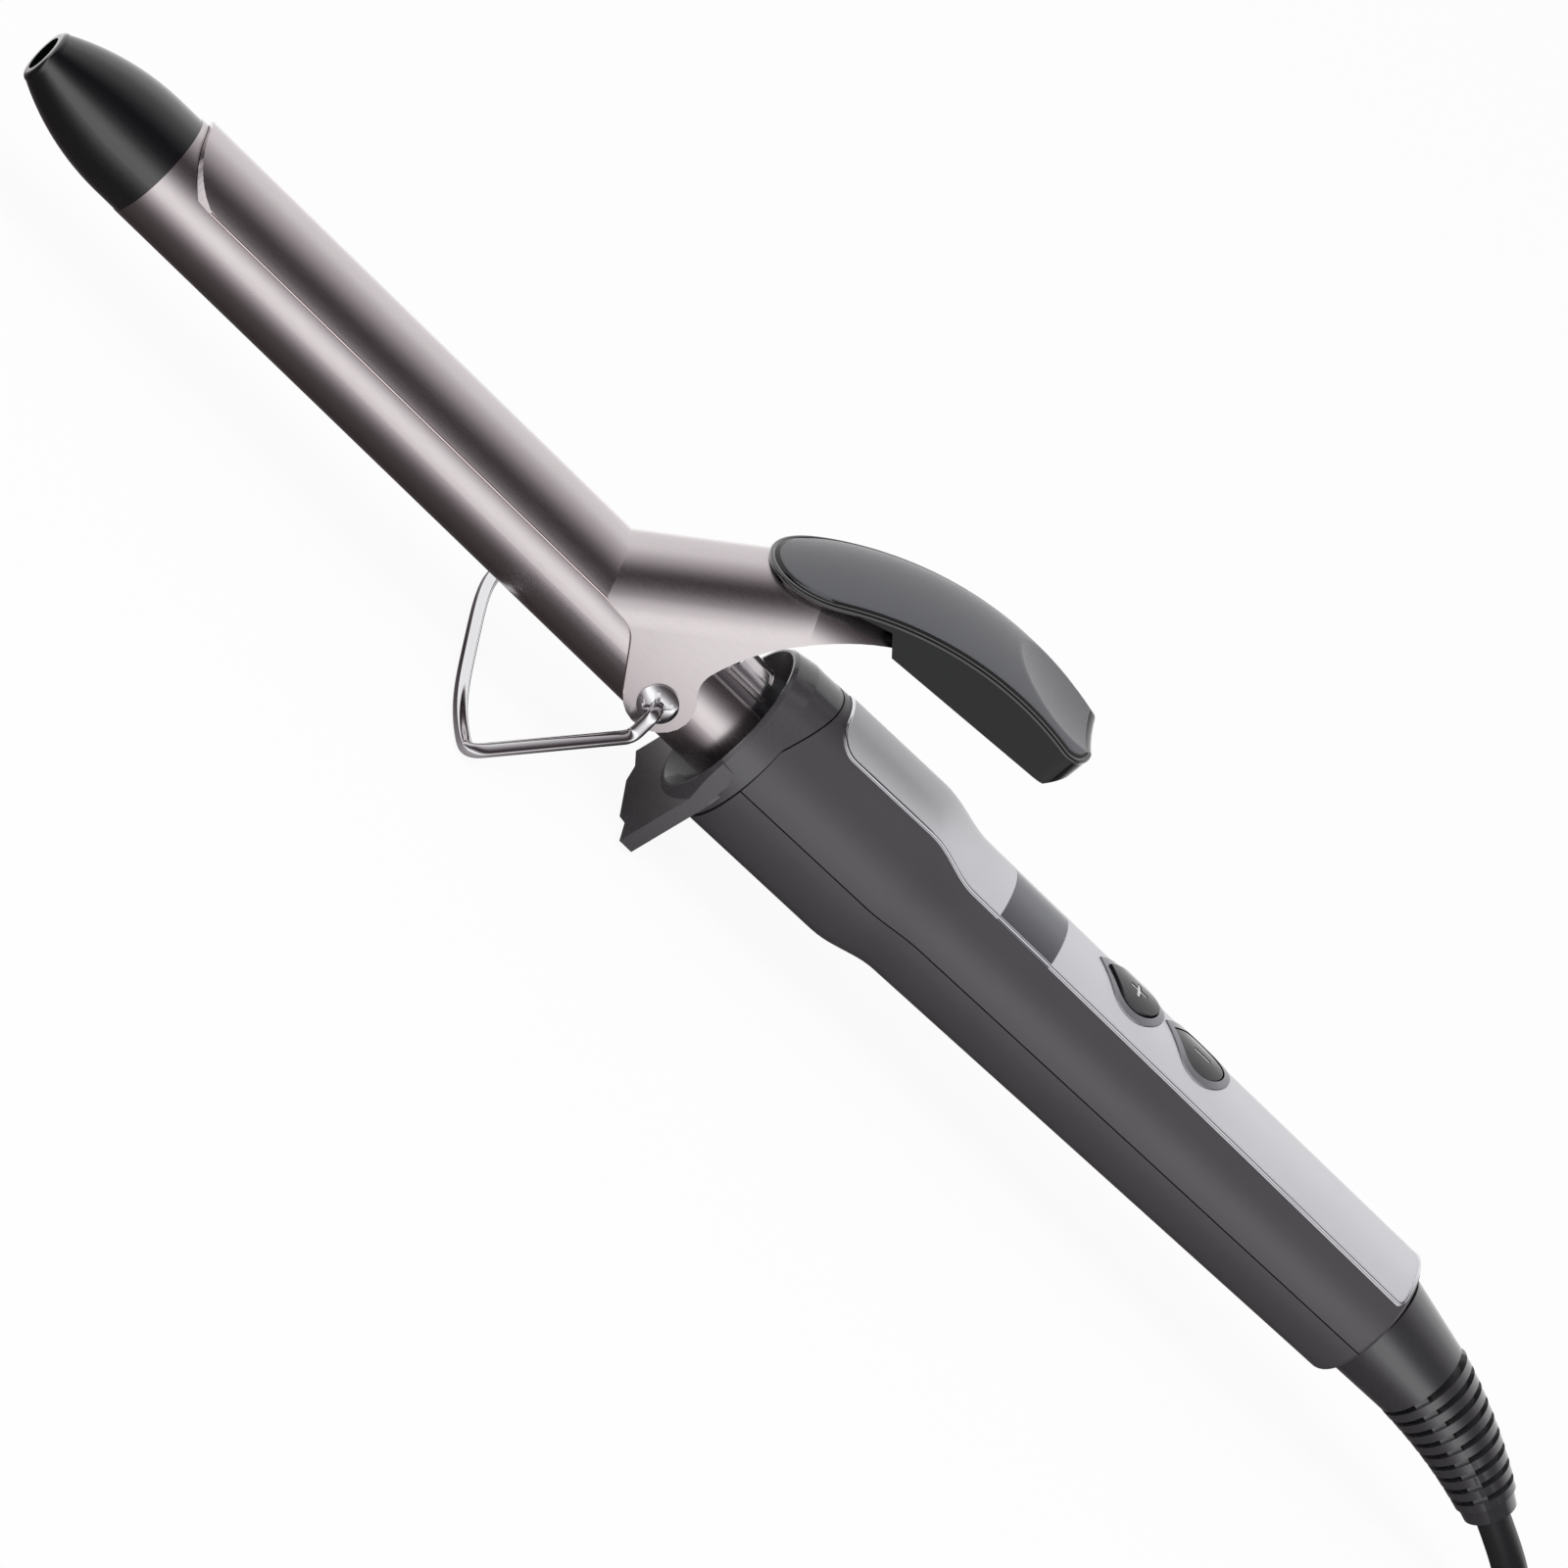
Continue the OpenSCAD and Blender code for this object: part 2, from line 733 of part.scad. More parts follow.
module leaf_path() {
    centre = [saddle_front, barrel_r + 2 * fit + saddle_t + leaf_t + hairpin_r];
    tip = 90 + leaf_tilt;
    translate(centre) {
        difference() {
            circle(hairpin_r + leaf_t, $fn = small_fn);
            circle(hairpin_r, $fn = small_fn);
            polygon([
                [0, 0], 20 * [cos(tip), sin(tip)], [0, 30], [30, 30], [30, -30], [0, -30]
            ]);
        }
        rotate(leaf_tilt) translate([-fit, hairpin_r]) square([leaf_len + fit, leaf_t]);
        translate([-fit, -hairpin_r - leaf_t]) square([leaf_root + fit, leaf_t]);
    }
}

module clamp_spring() {
    color("#dcdddd") lift() across(leaf_w) leaf_path();
}

module spring_saddle() {
    color("#dcdddd") lift() {
        difference() {
            intersection() {
                rod_x(barrel_r + fit + saddle_t, saddle_front, saddle_back);
                rotate([90, 0, 90]) linear_extrude(far, center = true) polygon([
                    [0, 0], far * [sin(saddle_cover / 2), cos(saddle_cover / 2)],
                    [0, 2 * far], far * [-sin(saddle_cover / 2), cos(saddle_cover / 2)]
                ]);
            }
            rod_x(barrel_r + fit, -far / 2, far / 2);
            for (turn = [-slot_turn, slot_turn]) rotate([turn, 0, 0]) translate([saddle_front + 2, -slot_w / 2, 0])
                cube([10.5, slot_w, far]);
            translate([saddle_front + 3.4, -2.6, 0]) cube([6, 5.2, far]);
        }
    }
}

// ---------------------------------------------------------------- stand

module stand_wire() {
    side = [
        [pivot[0], wire_end_y, pivot[1]],
        [pivot[0], leg_y, pivot[1]],
        [pivot[0] + 0.4, leg_y + 0.2, pivot[1] - kink_drop]
    ];
    corner = [pivot[0] - stand_reach, stand_w / 2, stand_low];
    leg = corner - side[2];
    before = corner - leg / norm(leg) * corner_cut;
    mid = corner - leg / norm(leg) * corner_cut * 0.3 - [0, corner_cut * 0.3, 0];
    after = corner - [0, corner_cut, 0];
    run = concat(side, [before, mid, after]);
    bow = [for (i = [1 : bow_steps]) after - [crossbar_bow * sin(90 * i / bow_steps), after[1] * i / bow_steps, 0]];
    color("#d5d6d7") lift() {
        for (s = [-1, 1]) scale_side(s) wire(concat(run, bow), wire_r);
    }
}

// ---------------------------------------------------------------- handle

// the handle's outline as [radius, x] points, grown by the given amount
function handle_outline(grow) = concat(
    [[swell_r + grow, collar_joint - 2], [swell_r + grow, swell_end]],
    [for (i = [1 : 9]) let (s = i / 10) [
        swell_r + (waist_r - swell_r) * (1 - cos(180 * s)) / 2 + grow,
        swell_end + (waist_x - swell_end) * s
    ]],
    [[waist_r + grow, waist_x], [rear_r + grow, handle_end - rear_round]]
);
function handle_r(x) = waist_r + (rear_r - waist_r) * (x - waist_x) / (handle_end - rear_round - waist_x);

module handle_solid(grow) {
    along_x() {
        polygon(concat(
            [[0, collar_joint - 2]], handle_outline(grow),
            [[rear_r + grow - rear_round, handle_end], [0, handle_end]]
        ));
        translate([rear_r + grow - rear_round, handle_end - rear_round]) circle(rear_round);
    }
}

module handle_cavity() {
    along_x() polygon(concat(
        [[0, cavity_front], [swell_r - shell_wall, cavity_front]],
        [for (p = handle_outline(-shell_wall)) if (p[1] > cavity_front && p[1] < cavity_back) p],
        [[rear_r - shell_wall - 1, cavity_back], [0, cavity_back]]
    ));
    rod_x(spigot_r + 0.1, collar_joint - 1, cavity_front + fit);
}

// everything that both shells leave free: cavity, relief opening and flange seat
module handle_inside() {
    handle_cavity();
    rod_x(relief_d / 2 - 0.6, cavity_back - 1, far);
    rod_x(relief_flange_r + 2 * fit, cavity_back - flange_seat - 0.5, cavity_back + 2 * fit);
    translate([cavity_back, 0, 0]) rotate([0, 90, 0])
        cylinder(r1 = relief_d / 2 - 0.6, r2 = relief_d / 2 + 0.4, h = handle_end - cavity_back + 0.01);
}

module posts(from, to, r) {
    for (x = post_x) translate([x, 0, 0]) cylinder_between(r, from, to);
}

module handle_upper() {
    color("#46464a") handle_frame() difference() {
        union() {
            difference() {
                intersection() {
                    handle_solid(0);
                    translate([collar_joint + seam_gap, -far / 2, seam_z + seam_gap / 2]) cube([far, far, far]);
                }
                handle_inside();
            }
            intersection() {
                handle_solid(-1);
                posts(seam_z + seam_gap / 2, far, post_d / 2);
            }
        }
        // round end of the collar's lobe
        translate([0, 0, 4 - seam_gap]) linear_extrude(far) lobe_outline(seam_gap);
        // seat of the silver strip
        strip_shape(fit, handle_depth = strip_t);
        linear_extrude(far) translate([window_front + 1, -display_w / 2 - 0.6])
            square([window_len - 2, display_w + 1.2]);
        for (x = [plus_x, minus_x]) translate([x, 0, 0]) linear_extrude(far)
            drop(button_r + button_gap + bezel_w + fit, button_point + button_gap + bezel_w * 1.4 + fit);
        posts(-far, board_top + 4, screw_d / 2);
    }
}

module handle_lower() {
    color("#424246") handle_frame() difference() {
        union() {
            difference() {
                intersection() {
                    handle_solid(0);
                    translate([collar_joint + seam_gap, -far / 2, seam_z - seam_gap / 2 - far]) cube([far, far, far]);
                }
                handle_inside();
            }
            intersection() {
                handle_solid(-1);
                posts(-far, seam_z - seam_gap / 2, post_d / 2 + 0.6);
            }
        }
        posts(-far, far, screw_d / 2 + fit);
        for (x = post_x) translate([x, 0, 0]) cylinder_between(screw_head_d / 2 + fit, -far, -waist_r + screw_sink);
    }
}

module case_screws() {
    color("#9a9c9e") handle_frame() for (x = post_x) translate([x, 0, 0]) difference() {
        union() {
            cylinder_between(screw_d / 2 - fit, -waist_r + screw_sink, board_top + 3);
            cylinder_between(screw_head_d / 2, -waist_r + screw_sink - 1.8, -waist_r + screw_sink);
        }
        for (turn = [0, 90]) rotate([0, 0, turn]) translate([0, 0, -waist_r + screw_sink - 1.8])
            cube([3.4, 0.8, 1.6], center = true);
    }
}

// ---------------------------------------------------------------- control strip

module strip_plan(gap) {
    half = strip_w / 2 + gap;
    back = strip_back + gap - strip_corner_r;
    front = strip_front - gap + strip_nose_r;
    polygon(concat(
        arc([back, half - strip_corner_r], strip_corner_r, 0, 90),
        arc([front, half - strip_nose_r], strip_nose_r, 90, 180),
        arc([front, strip_nose_r - half], strip_nose_r, 180, 270),
        arc([back, strip_corner_r - half], strip_corner_r, 270, 360)
    ));
}

// the curved slab that the strip fills, or its seat in the upper shell
module strip_shape(gap, handle_depth) {
    difference() {
        intersection() {
            handle_solid(strip_proud + (gap > 0 ? 1 : 0));
            translate([0, 0, 4]) linear_extrude(far) strip_plan(gap);
        }
        handle_solid(strip_proud - handle_depth);
    }
}

module control_strip() {
    color("#cececf") handle_frame() difference() {
        strip_shape(0, strip_t - fit);
        translate([window_front, -far / 2, 0]) cube([window_len, far, far]);
        for (x = [plus_x, minus_x]) translate([x, 0, 0]) linear_extrude(far)
            drop(button_r + button_gap + bezel_w, button_point + button_gap + bezel_w * 1.4);
    }
}

module window_glass() {
    color("#6f7072") handle_frame() intersection() {
        strip_shape(0, strip_t - fit);
        translate([window_front + fit, -far / 2, 0]) cube([window_len - 2 * fit, far, far]);
    }
}

module display_module() {
    color("#3d4043") handle_frame() translate([(window_front + window_back) / 2, 0, 0]) {
        translate([-window_len / 2 + 1.4, -display_w / 2, board_top])
            cube([window_len - 2.8, display_w, display_top - board_top]);
    }
}

module bezel(x) {
    handle_frame() translate([x, 0, 0]) intersection() {
        difference() {
            translate([0, 0, handle_r(x) - 3.6]) linear_extrude(far) difference() {
                drop(button_r + button_gap + bezel_w - fit, button_point + button_gap + bezel_w * 1.4 - fit);
                drop(button_r + button_gap, button_point + button_gap);
            }
            translate([0, 0, handle_r(x) - 3.6]) linear_extrude(flange_t + 0.1)
                drop(button_r + flange_w + button_gap, button_point + flange_w + button_gap);
        }
        translate([-x, 0, 0]) handle_solid(bezel_proud);
    }
}

module plus_bezel() {
    color("#2b2c2e") bezel(plus_x);
}

module minus_bezel() {
    color("#2b2c2e") bezel(minus_x);
}

// a sprung key: crowned head, retaining flange and stem
module key(x, rise, cross_mark) {
    seat = handle_r(x) - 3.6;
    handle_frame() translate([x, 0, 0]) {
        difference() {
            intersection() {
                translate([0, 0, seat + flange_t - fit]) linear_extrude(far) drop(button_r, button_point);
                translate([-x, 0, 0]) handle_solid(rise);
            }
            mark(x, rise, 0);
            if (cross_mark) mark(x, rise, 90);
        }
        translate([0, 0, seat]) linear_extrude(flange_t) drop(button_r + flange_w - 0.1, button_point + flange_w - 0.1);
        cylinder_between(stem_d / 2, seat - 1.4, seat + fit);
    }
}

module mark(x, rise, turn) {
    rotate([0, 0, turn]) translate([-mark_len / 2, -mark_w / 2, handle_r(x) + rise - mark_deep])
        cube([mark_len, mark_w, 2]);
}

module plus_button() {
    color("#4c4d50") key(plus_x, plus_rise, true);
}

module minus_button() {
    color("#4c4d50") key(minus_x, minus_rise, false);
}

// ---------------------------------------------------------------- board

module circuit_board() {
    color("#1f6b3a") handle_frame() translate([board_front, -board_w / 2, board_top - board_t])
        cube([board_back - board_front, board_w, board_t]);
}

module button_switches() {
    color("#232323") handle_frame() for (x = [plus_x, minus_x]) translate([x, 0, board_top]) {
        high = handle_r(x) - 5 - button_travel - 0.1 - board_top;
        translate([-switch_w / 2, -switch_w / 2, 0]) cube([switch_w, switch_w, high - 1]);
        cylinder_between(1.7, high - 1 - fit, high);
    }
}

module mains_wires() {
    from = [board_back + 0.8, lead_y, board_top - board_t / 2];
    to = [cavity_back - flange_seat - 1.6, lead_y, 0];
    color("#7a5230") handle_frame() for (s = [-1, 1]) scale_side(s) translate(from)
        rotate([0, 90 - atan2(to[2] - from[2], to[0] - from[0]), 0])
            cylinder(d = lead_d, h = norm(to - from), $fn = small_fn);
}

// ---------------------------------------------------------------- strain relief

// a short cone of the relief that starts at one share of its length and points the way it runs at another
module relief_slice(share, aim, long, d1, d2) {
    translate(relief_point(share)) rotate([0, 90 + dip(aim), 0]) cylinder(d1 = d1, d2 = d2, h = long, $fn = small_fn);
}

module strain_relief() {
    pitch = (1 - relief_smooth - relief_ring) / rib_count;
    step = pitch * relief_len;
    color("#38373a") {
        handle_frame() {
            rod_x(relief_d / 2 - 1, cavity_back - 3, handle_end + 0.6);
            rod_x(relief_flange_r, cavity_back - flange_seat - 0.4, cavity_back);
        }
        relief_slice(0, relief_smooth / 2, relief_smooth * relief_len, relief_d, relief_size(relief_smooth));
        ring = relief_ring * 1.15;
        relief_slice(1 - ring, 1, ring * relief_len, relief_end_d + 0.4, relief_end_d - 0.4);
        for (i = [0 : rib_count - 1]) {
            share = relief_smooth + pitch * i;
            d = relief_size(share);
            // core and side spine, which meet those of the next rib inside the disc between them
            relief_slice(share - pitch * 0.3, share, step, d * 0.74, d * 0.68);
            relief_slice(share + pitch * rib_gap_share, share, step * (1 - rib_gap_share), d, d - 0.3);
            translate(relief_point(share - pitch * 0.3)) rotate([0, 90 + dip(share), 0])
                translate([-spine_w / 2, 0.5 - d / 2, 0]) cube([spine_w, d - 1, step]);
        }
    }
}

// ---------------------------------------------------------------- lead, coil and plug

module cord_lead() {
    color("#1d1d1f") swept_tube(concat([relief_tip + [0.35, 0, -0.2]], LEAD_ROUTE), cord_r, 10);
}

module cord_coil() {
    color("#1d1d1f") translate([coil_at[0], coil_at[1], 0]) rotate_extrude()
        translate([coil_mid_r - coil_w / 2, 0]) square([coil_w, coil_h]);
}

module cord_tail() {
    color("#1d1d1f") swept_tube(TAIL_ROUTE, cord_r, 10);
}

module cord_tie() {
    color("#2a2a2c") translate([coil_at[0] + coil_mid_r * cos(tie_turn), coil_at[1] + coil_mid_r * sin(tie_turn), 0])
        rotate([0, 0, tie_turn]) difference() {
            translate([-coil_w / 2 - tie_gap - tie_t, -tie_w / 2, 0])
                cube([coil_w + 2 * (tie_gap + tie_t), tie_w, coil_h + tie_t]);
            translate([-coil_w / 2 - tie_gap, -tie_w, -1]) cube([coil_w + 2 * tie_gap, 2 * tie_w, coil_h + 1]);
        }
}

module plug_body() {
    color("#1d1d1f") translate(plug_start) intersection() {
        union() {
            rotate([0, 90, 0]) cylinder(d1 = cord_d + 2.4, d2 = 9.6, h = plug_neck_len + 1, $fn = small_fn);
            translate([plug_neck_len, 0, -plug_t / 2]) linear_extrude(plug_t) polygon([
                [0, -plug_neck_w / 2], [10, -plug_w / 2 + 1], [plug_len - plug_neck_len, -plug_w / 2],
                [plug_len - plug_neck_len, plug_w / 2], [10, plug_w / 2 - 1], [0, plug_neck_w / 2]
            ]);
        }
        translate([-1, 0, 0]) rotate([90, 0, 90]) linear_extrude(plug_len + 2) {
            circle(plug_t / 2);
            for (s = [-1, 1]) translate([s * (plug_w - plug_t) / 2, 0]) circle(plug_t / 2);
            square([plug_w - plug_t, plug_t], center = true);
        }
    }
}

module plug_pins() {
    color("#c9c4b4") translate(plug_start + [plug_len, 0, 0])
        for (s = [-1, 1]) translate([0, s * pin_spread / 2, 0]) {
            rotate([0, 90, 0]) cylinder(d = pin_d, h = pin_len - pin_d / 2, $fn = small_fn);
            translate([pin_len - pin_d / 2, 0, 0]) sphere(d = pin_d, $fn = small_fn);
        }
}

// ---------------------------------------------------------------- nodes

barrel_tube();
tip_cap();
heater_block();
heater_plate();
temperature_probe();
heater_leads();
pivot_block();
pivot_screws();
barrel_bush();
collar_guard();
spring_saddle();
clamp_spring();
clamp_lever();
thumb_rest();
thumb_screw();
stand_wire();
handle_upper();
handle_lower();
case_screws();
control_strip();
window_glass();
display_module();
plus_bezel();
minus_bezel();
plus_button();
minus_button();
circuit_board();
button_switches();
mains_wires();
strain_relief();
cord_lead();
cord_coil();
cord_tail();
cord_tie();
plug_body();
plug_pins();
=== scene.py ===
"""A curling iron with a satin titanium barrel and clamp, a chrome wire stand, a dark two-part handle with
a silver control strip, and a rubber mains cord that lies coiled beside it. The part's own frame is kept.
Sizes are in millimetres and become metres where a mesh is made."""

import math

import bpy
import numpy as np
from mathutils import Matrix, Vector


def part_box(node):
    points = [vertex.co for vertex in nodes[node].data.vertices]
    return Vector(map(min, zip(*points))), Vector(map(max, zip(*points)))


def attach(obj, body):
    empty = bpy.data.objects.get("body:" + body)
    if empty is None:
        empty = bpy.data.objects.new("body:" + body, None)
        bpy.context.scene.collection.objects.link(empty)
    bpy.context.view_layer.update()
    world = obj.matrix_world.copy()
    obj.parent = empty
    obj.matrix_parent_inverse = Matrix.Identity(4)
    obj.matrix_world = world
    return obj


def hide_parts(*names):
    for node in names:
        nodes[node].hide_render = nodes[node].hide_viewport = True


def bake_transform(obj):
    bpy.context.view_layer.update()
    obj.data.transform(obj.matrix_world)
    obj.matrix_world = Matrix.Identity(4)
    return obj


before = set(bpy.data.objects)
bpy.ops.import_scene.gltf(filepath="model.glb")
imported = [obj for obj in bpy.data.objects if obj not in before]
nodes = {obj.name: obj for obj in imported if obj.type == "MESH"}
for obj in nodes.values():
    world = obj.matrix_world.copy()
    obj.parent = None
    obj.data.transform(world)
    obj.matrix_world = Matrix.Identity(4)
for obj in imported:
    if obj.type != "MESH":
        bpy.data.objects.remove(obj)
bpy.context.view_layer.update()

MM = 0.001
# The barrel's axis lies this high over the table, and sizes along it start this far along X.
AXIS_HEIGHT = 22.0
FOOT_AHEAD = 1.1
ON_AXIS = np.array([FOOT_AHEAD, 0.0, AXIS_HEIGHT])
# Behind the joint in the collar, the handle leans up.
COLLAR_JOINT = 3.6
HANDLE_LEAN = math.radians(1.2)


# ---------------------------------------------------------------- directions and lines

def unit(directions):
    """The same directions, each with a length of one."""
    return directions / np.linalg.norm(directions, axis=-1, keepdims=True)


def headings(path):
    """Unit directions along a path of points, from each point's two neighbours."""
    return unit(np.gradient(path, axis=0))


def loop_headings(loop):
    """Unit directions round a closed loop of points, from each point's two neighbours."""
    return unit(np.roll(loop, -1, 0) - np.roll(loop, 1, 0))


def arc(middle, radius, start, end, count):
    """Points on a part of a circle, evenly between two angles in degrees."""
    angle = np.radians(np.linspace(start, end, count))
    return np.asarray(middle, float) + radius * np.stack([np.cos(angle), np.sin(angle)], 1)


def run_along(line):
    """How far along a line of points each point lies: the sum of the spans before it."""
    return np.concatenate([[0], np.cumsum(np.linalg.norm(np.diff(line, axis=0), axis=1))])


def read_along(line, places):
    """The points that lie at the given places along a line, each on the straight span between two of its
    own."""
    run = run_along(line)
    return np.stack([np.interp(places, run, column) for column in line.T], 1)


def spaced(line, count, closed=False):
    """A line of points, or a closed outline, as a number of evenly spaced points."""
    if closed:
        line = np.vstack([line, line[:1]])
    return read_along(line, np.linspace(0, run_along(line)[-1], count, endpoint=not closed))


def even_curve(points, step):
    """A smooth curve through points, resampled at an even step: each span is a cubic whose ends take the
    slope of the line between their neighbours."""
    p = np.asarray(points, float)
    q = np.vstack([2 * p[0] - p[1], p, 2 * p[-1] - p[-2]])
    t = np.linspace(0, 1, 12, endpoint=False)[None, :, None]
    a, b, c, d = q[:-3, None], q[1:-2, None], q[2:-1, None], q[3:, None]
    square, cube = 2 * a - 5 * b + 4 * c - d, 3 * b - a - 3 * c + d
    spans = 0.5 * (2 * b + (c - a) * t + square * t ** 2 + cube * t ** 3)
    fine = np.vstack([spans.reshape(-1, 3), p[-1:]])
    return spaced(fine, max(2, int(round(run_along(fine)[-1] / step)) + 1))


def rounded_route(corners, window, step=0.2):
    """A wire's middle line: the straight runs between the corners, resampled at an even step, and each
    point replaced by the mean of the run over a window, which turns each corner into a soft bend."""
    run = run_along(corners)
    first = (corners[1] - corners[0]) / run[1]
    last = (corners[-1] - corners[-2]) / (run[-1] - run[-2])
    even = np.arange(-window / 2, run[-1] + window / 2, step)
    line = read_along(corners, even)
    line += np.minimum(even, 0)[:, None] * first + np.maximum(even - run[-1], 0)[:, None] * last
    wide = int(round(window / step)) | 1
    return np.stack([np.convolve(column, np.full(wide, 1 / wide), "valid") for column in line.T], 1)


def ease(u):
    """Rises smoothly from 0 at 0 to 1 at 1, level at both ends."""
    c = np.clip(u, 0, 1)
    return c * c * (3 - 2 * c)


# ---------------------------------------------------------------- surfaces from arrays

def rings(line, side, over, radius, sides):
    """Rings round a line of points: each ring's point is the line's point plus the radius times the
    cosine of its angle along the side direction and the sine along the direction over it."""
    angle = np.linspace(0, 2 * np.pi, sides, endpoint=False)[:, None]
    return line[:, None] + radius * (side[:, None] * np.cos(angle) + over[:, None] * np.sin(angle))


def tube_grid(path, radius, sides, upright=(0.0, 0.0, 1.0)):
    """Rings round a path. Their side direction is square to the path and to the upright one, and the
    direction over it is square to the side and to the path."""
    ahead = headings(path)
    side = unit(np.cross(upright, ahead))
    return rings(path, side, np.cross(ahead, side), radius, sides)


def skin(name, grid, material, body=None, closed=False):
    """A mesh over a grid of points: its rows run along the piece and its columns go round it. A closed
    piece's last row joins its first, and any other has a face on both ends. A piece is attached to a body
    only when one is given."""
    rows, columns = grid.shape[:2]
    here = np.arange(rows * columns).reshape(rows, columns)
    right = np.roll(here, -1, 1)
    quads = np.stack([here, right, np.roll(right, -1, 0), np.roll(here, -1, 0)], -1)
    faces = quads[:rows if closed else rows - 1].reshape(-1, 4).tolist()
    if not closed:
        faces += [here[0, ::-1].tolist(), here[-1].tolist()]
    mesh = bpy.data.meshes.new(name)
    mesh.from_pydata(grid.reshape(-1, 3).tolist(), [], faces)
    mesh.materials.append(material)
    mesh.polygons.foreach_set("use_smooth", [True] * len(mesh.polygons))
    mesh.update()
    mesh.set_sharp_from_angle(angle=math.radians(40))
    piece = bpy.data.objects.new(name, mesh)
    bpy.context.scene.collection.objects.link(piece)
    if body:
        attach(piece, body)
    return piece


# ---------------------------------------------------------------- materials

def linear(hex_colour):
    """An sRGB hex colour as linear red, green, blue and alpha."""
    c = np.array([int(hex_colour[i:i + 2], 16) / 255 for i in (1, 3, 5)])
    c = np.where(c <= 0.04045, c / 12.92, ((c + 0.055) / 1.055) ** 2.4)
    return tuple(float(v) for v in c) + (1.0,)


def add(tree, kind, inputs=None, **settings):
    """Adds a node with its settings; each input is a value, or another node's output to link."""
    node = tree.nodes.new("ShaderNode" + kind)
    for name, value in settings.items():
        setattr(node, name, value)
    for name, value in (inputs or {}).items():
        if isinstance(value, bpy.types.NodeSocket):
            tree.links.new(value, node.inputs[name])
        else:
            node.inputs[name].default_value = value
    return node


def new_finish(name):
    """An empty material with its output node."""
    material = bpy.data.materials.new(name)
    material.use_nodes = True
    material.node_tree.nodes.clear()
    return material, material.node_tree, material.node_tree.nodes.new("ShaderNodeOutputMaterial")


def surface(name, colours, rough, span, grain, drift_mm, look):
    """A finish on Object coordinates. A slow drift of the given size runs between two close colours. A
    grain, given as its size, its stretch along X, its fineness and its lift, varies the roughness by the
    span to both sides and lifts the surface. The look holds the shader's other values."""
    grain_mm, stretch, fineness, lift_mm = grain
    material, tree, out = new_finish(name)
    where = add(tree, "TexCoord").outputs["Object"]
    drawn = add(tree, "Mapping", {"Vector": where, "Scale": (1 / stretch, 1.0, 1.0)}).outputs["Vector"]
    marks = add(tree, "TexNoise", {
        "Vector": drawn, "Scale": 1 / (grain_mm * MM), "Detail": 3.0, "Roughness": fineness}).outputs["Fac"]
    drift = add(tree, "TexNoise", {
        "Vector": where, "Scale": 1 / (drift_mm * MM), "Detail": 2.0}).outputs["Fac"]
    tint = add(tree, "Mix", {
        "Factor": drift, "A": linear(colours[0]), "B": linear(colours[1])}, data_type="RGBA")
    gloss = add(tree, "MapRange", {
        "Value": marks, "From Min": 0.3, "From Max": 0.7, "To Min": rough - span, "To Max": rough + span})
    relief = add(tree, "Bump", {"Height": marks, "Strength": 1.0, "Distance": lift_mm * MM})
    shader = add(tree, "BsdfPrincipled", {
        "Base Color": tint.outputs["Result"], "Roughness": gloss.outputs["Result"],
        "Normal": relief.outputs["Normal"], **look})
    tree.links.new(shader.outputs["BSDF"], out.inputs["Surface"])
    return material


def moulded(name, colours, rough, span, grain_mm, lift_mm, coat=0.0, ior=1.5):
    """Moulded plastic or rubber: a faint drift of colour, and a spark-eroded grain in its gloss and
    relief, drawn about five times as coarse as the real one so that it shows."""
    look = {"IOR": ior, "Coat Weight": coat, "Coat Roughness": 0.08}
    return surface(name, colours, rough, span, (grain_mm, 1.0, 0.6, lift_mm), 18.0, look)


def worked_metal(name, colours, rough, span, grain_mm, stretch, lift_mm, metallic=1.0):
    """Worked metal: fine marks in its gloss and relief, stretched along X, and drawn about five times as
    coarse as the real ones so that they show."""
    look = {"Metallic": metallic}
    return surface(name, colours, rough, span, (grain_mm, stretch, 0.5, lift_mm), 14.0, look)


def dress(material, *names):
    """Gives the named CAD nodes one finish."""
    for name in names:
        slots = nodes[name].data.materials
        slots.clear()
        slots.append(material)


# ---------------------------------------------------------------- mains cord

CORD_D = 5.8
CORD_SIDES = 12
CORD_STEP = 1.6
# It leaves the end of the strain relief and sinks to the table by these points.
RELIEF_TIP = [183.0, 0.0, 15.2]
LEAD_POINTS = [
    [188, 0, 12.9], [192, 0, 10.9], [195.5, 0, 8.8], [200, 0, 6.3],
    [205, 0.42, 4.3], [210, 1.72, 3.2], [212.7, 2.8, 2.9], [216.5, 4.6, 2.9]]
# The coil starts on its outer turn, at an angle in degrees round its middle, and turns by this much. Its
# points lie a step of degrees apart.
COIL_START = np.array([220.9, 6.7])
COIL_FROM = 115.0
COIL_TURN = 9 * 360 + 275.0
COIL_STEP = 7.5
COIL_LAYERS = 5
COIL_R = 30.0
COIL_OUT = COIL_R + CORD_D
COIL_IN = COIL_R - CORD_D
COIL_AT = COIL_START - arc([0, 0], COIL_OUT, COIL_FROM, COIL_FROM, 1)[0]
LIFT_TURN = 90.0
# The tail climbs on the coil by this turn and runs straight into the plug, which lies flat on top.
TAIL_TURN = 110.0
TAIL_RUN = 3.5
PLUG_T = 13.7


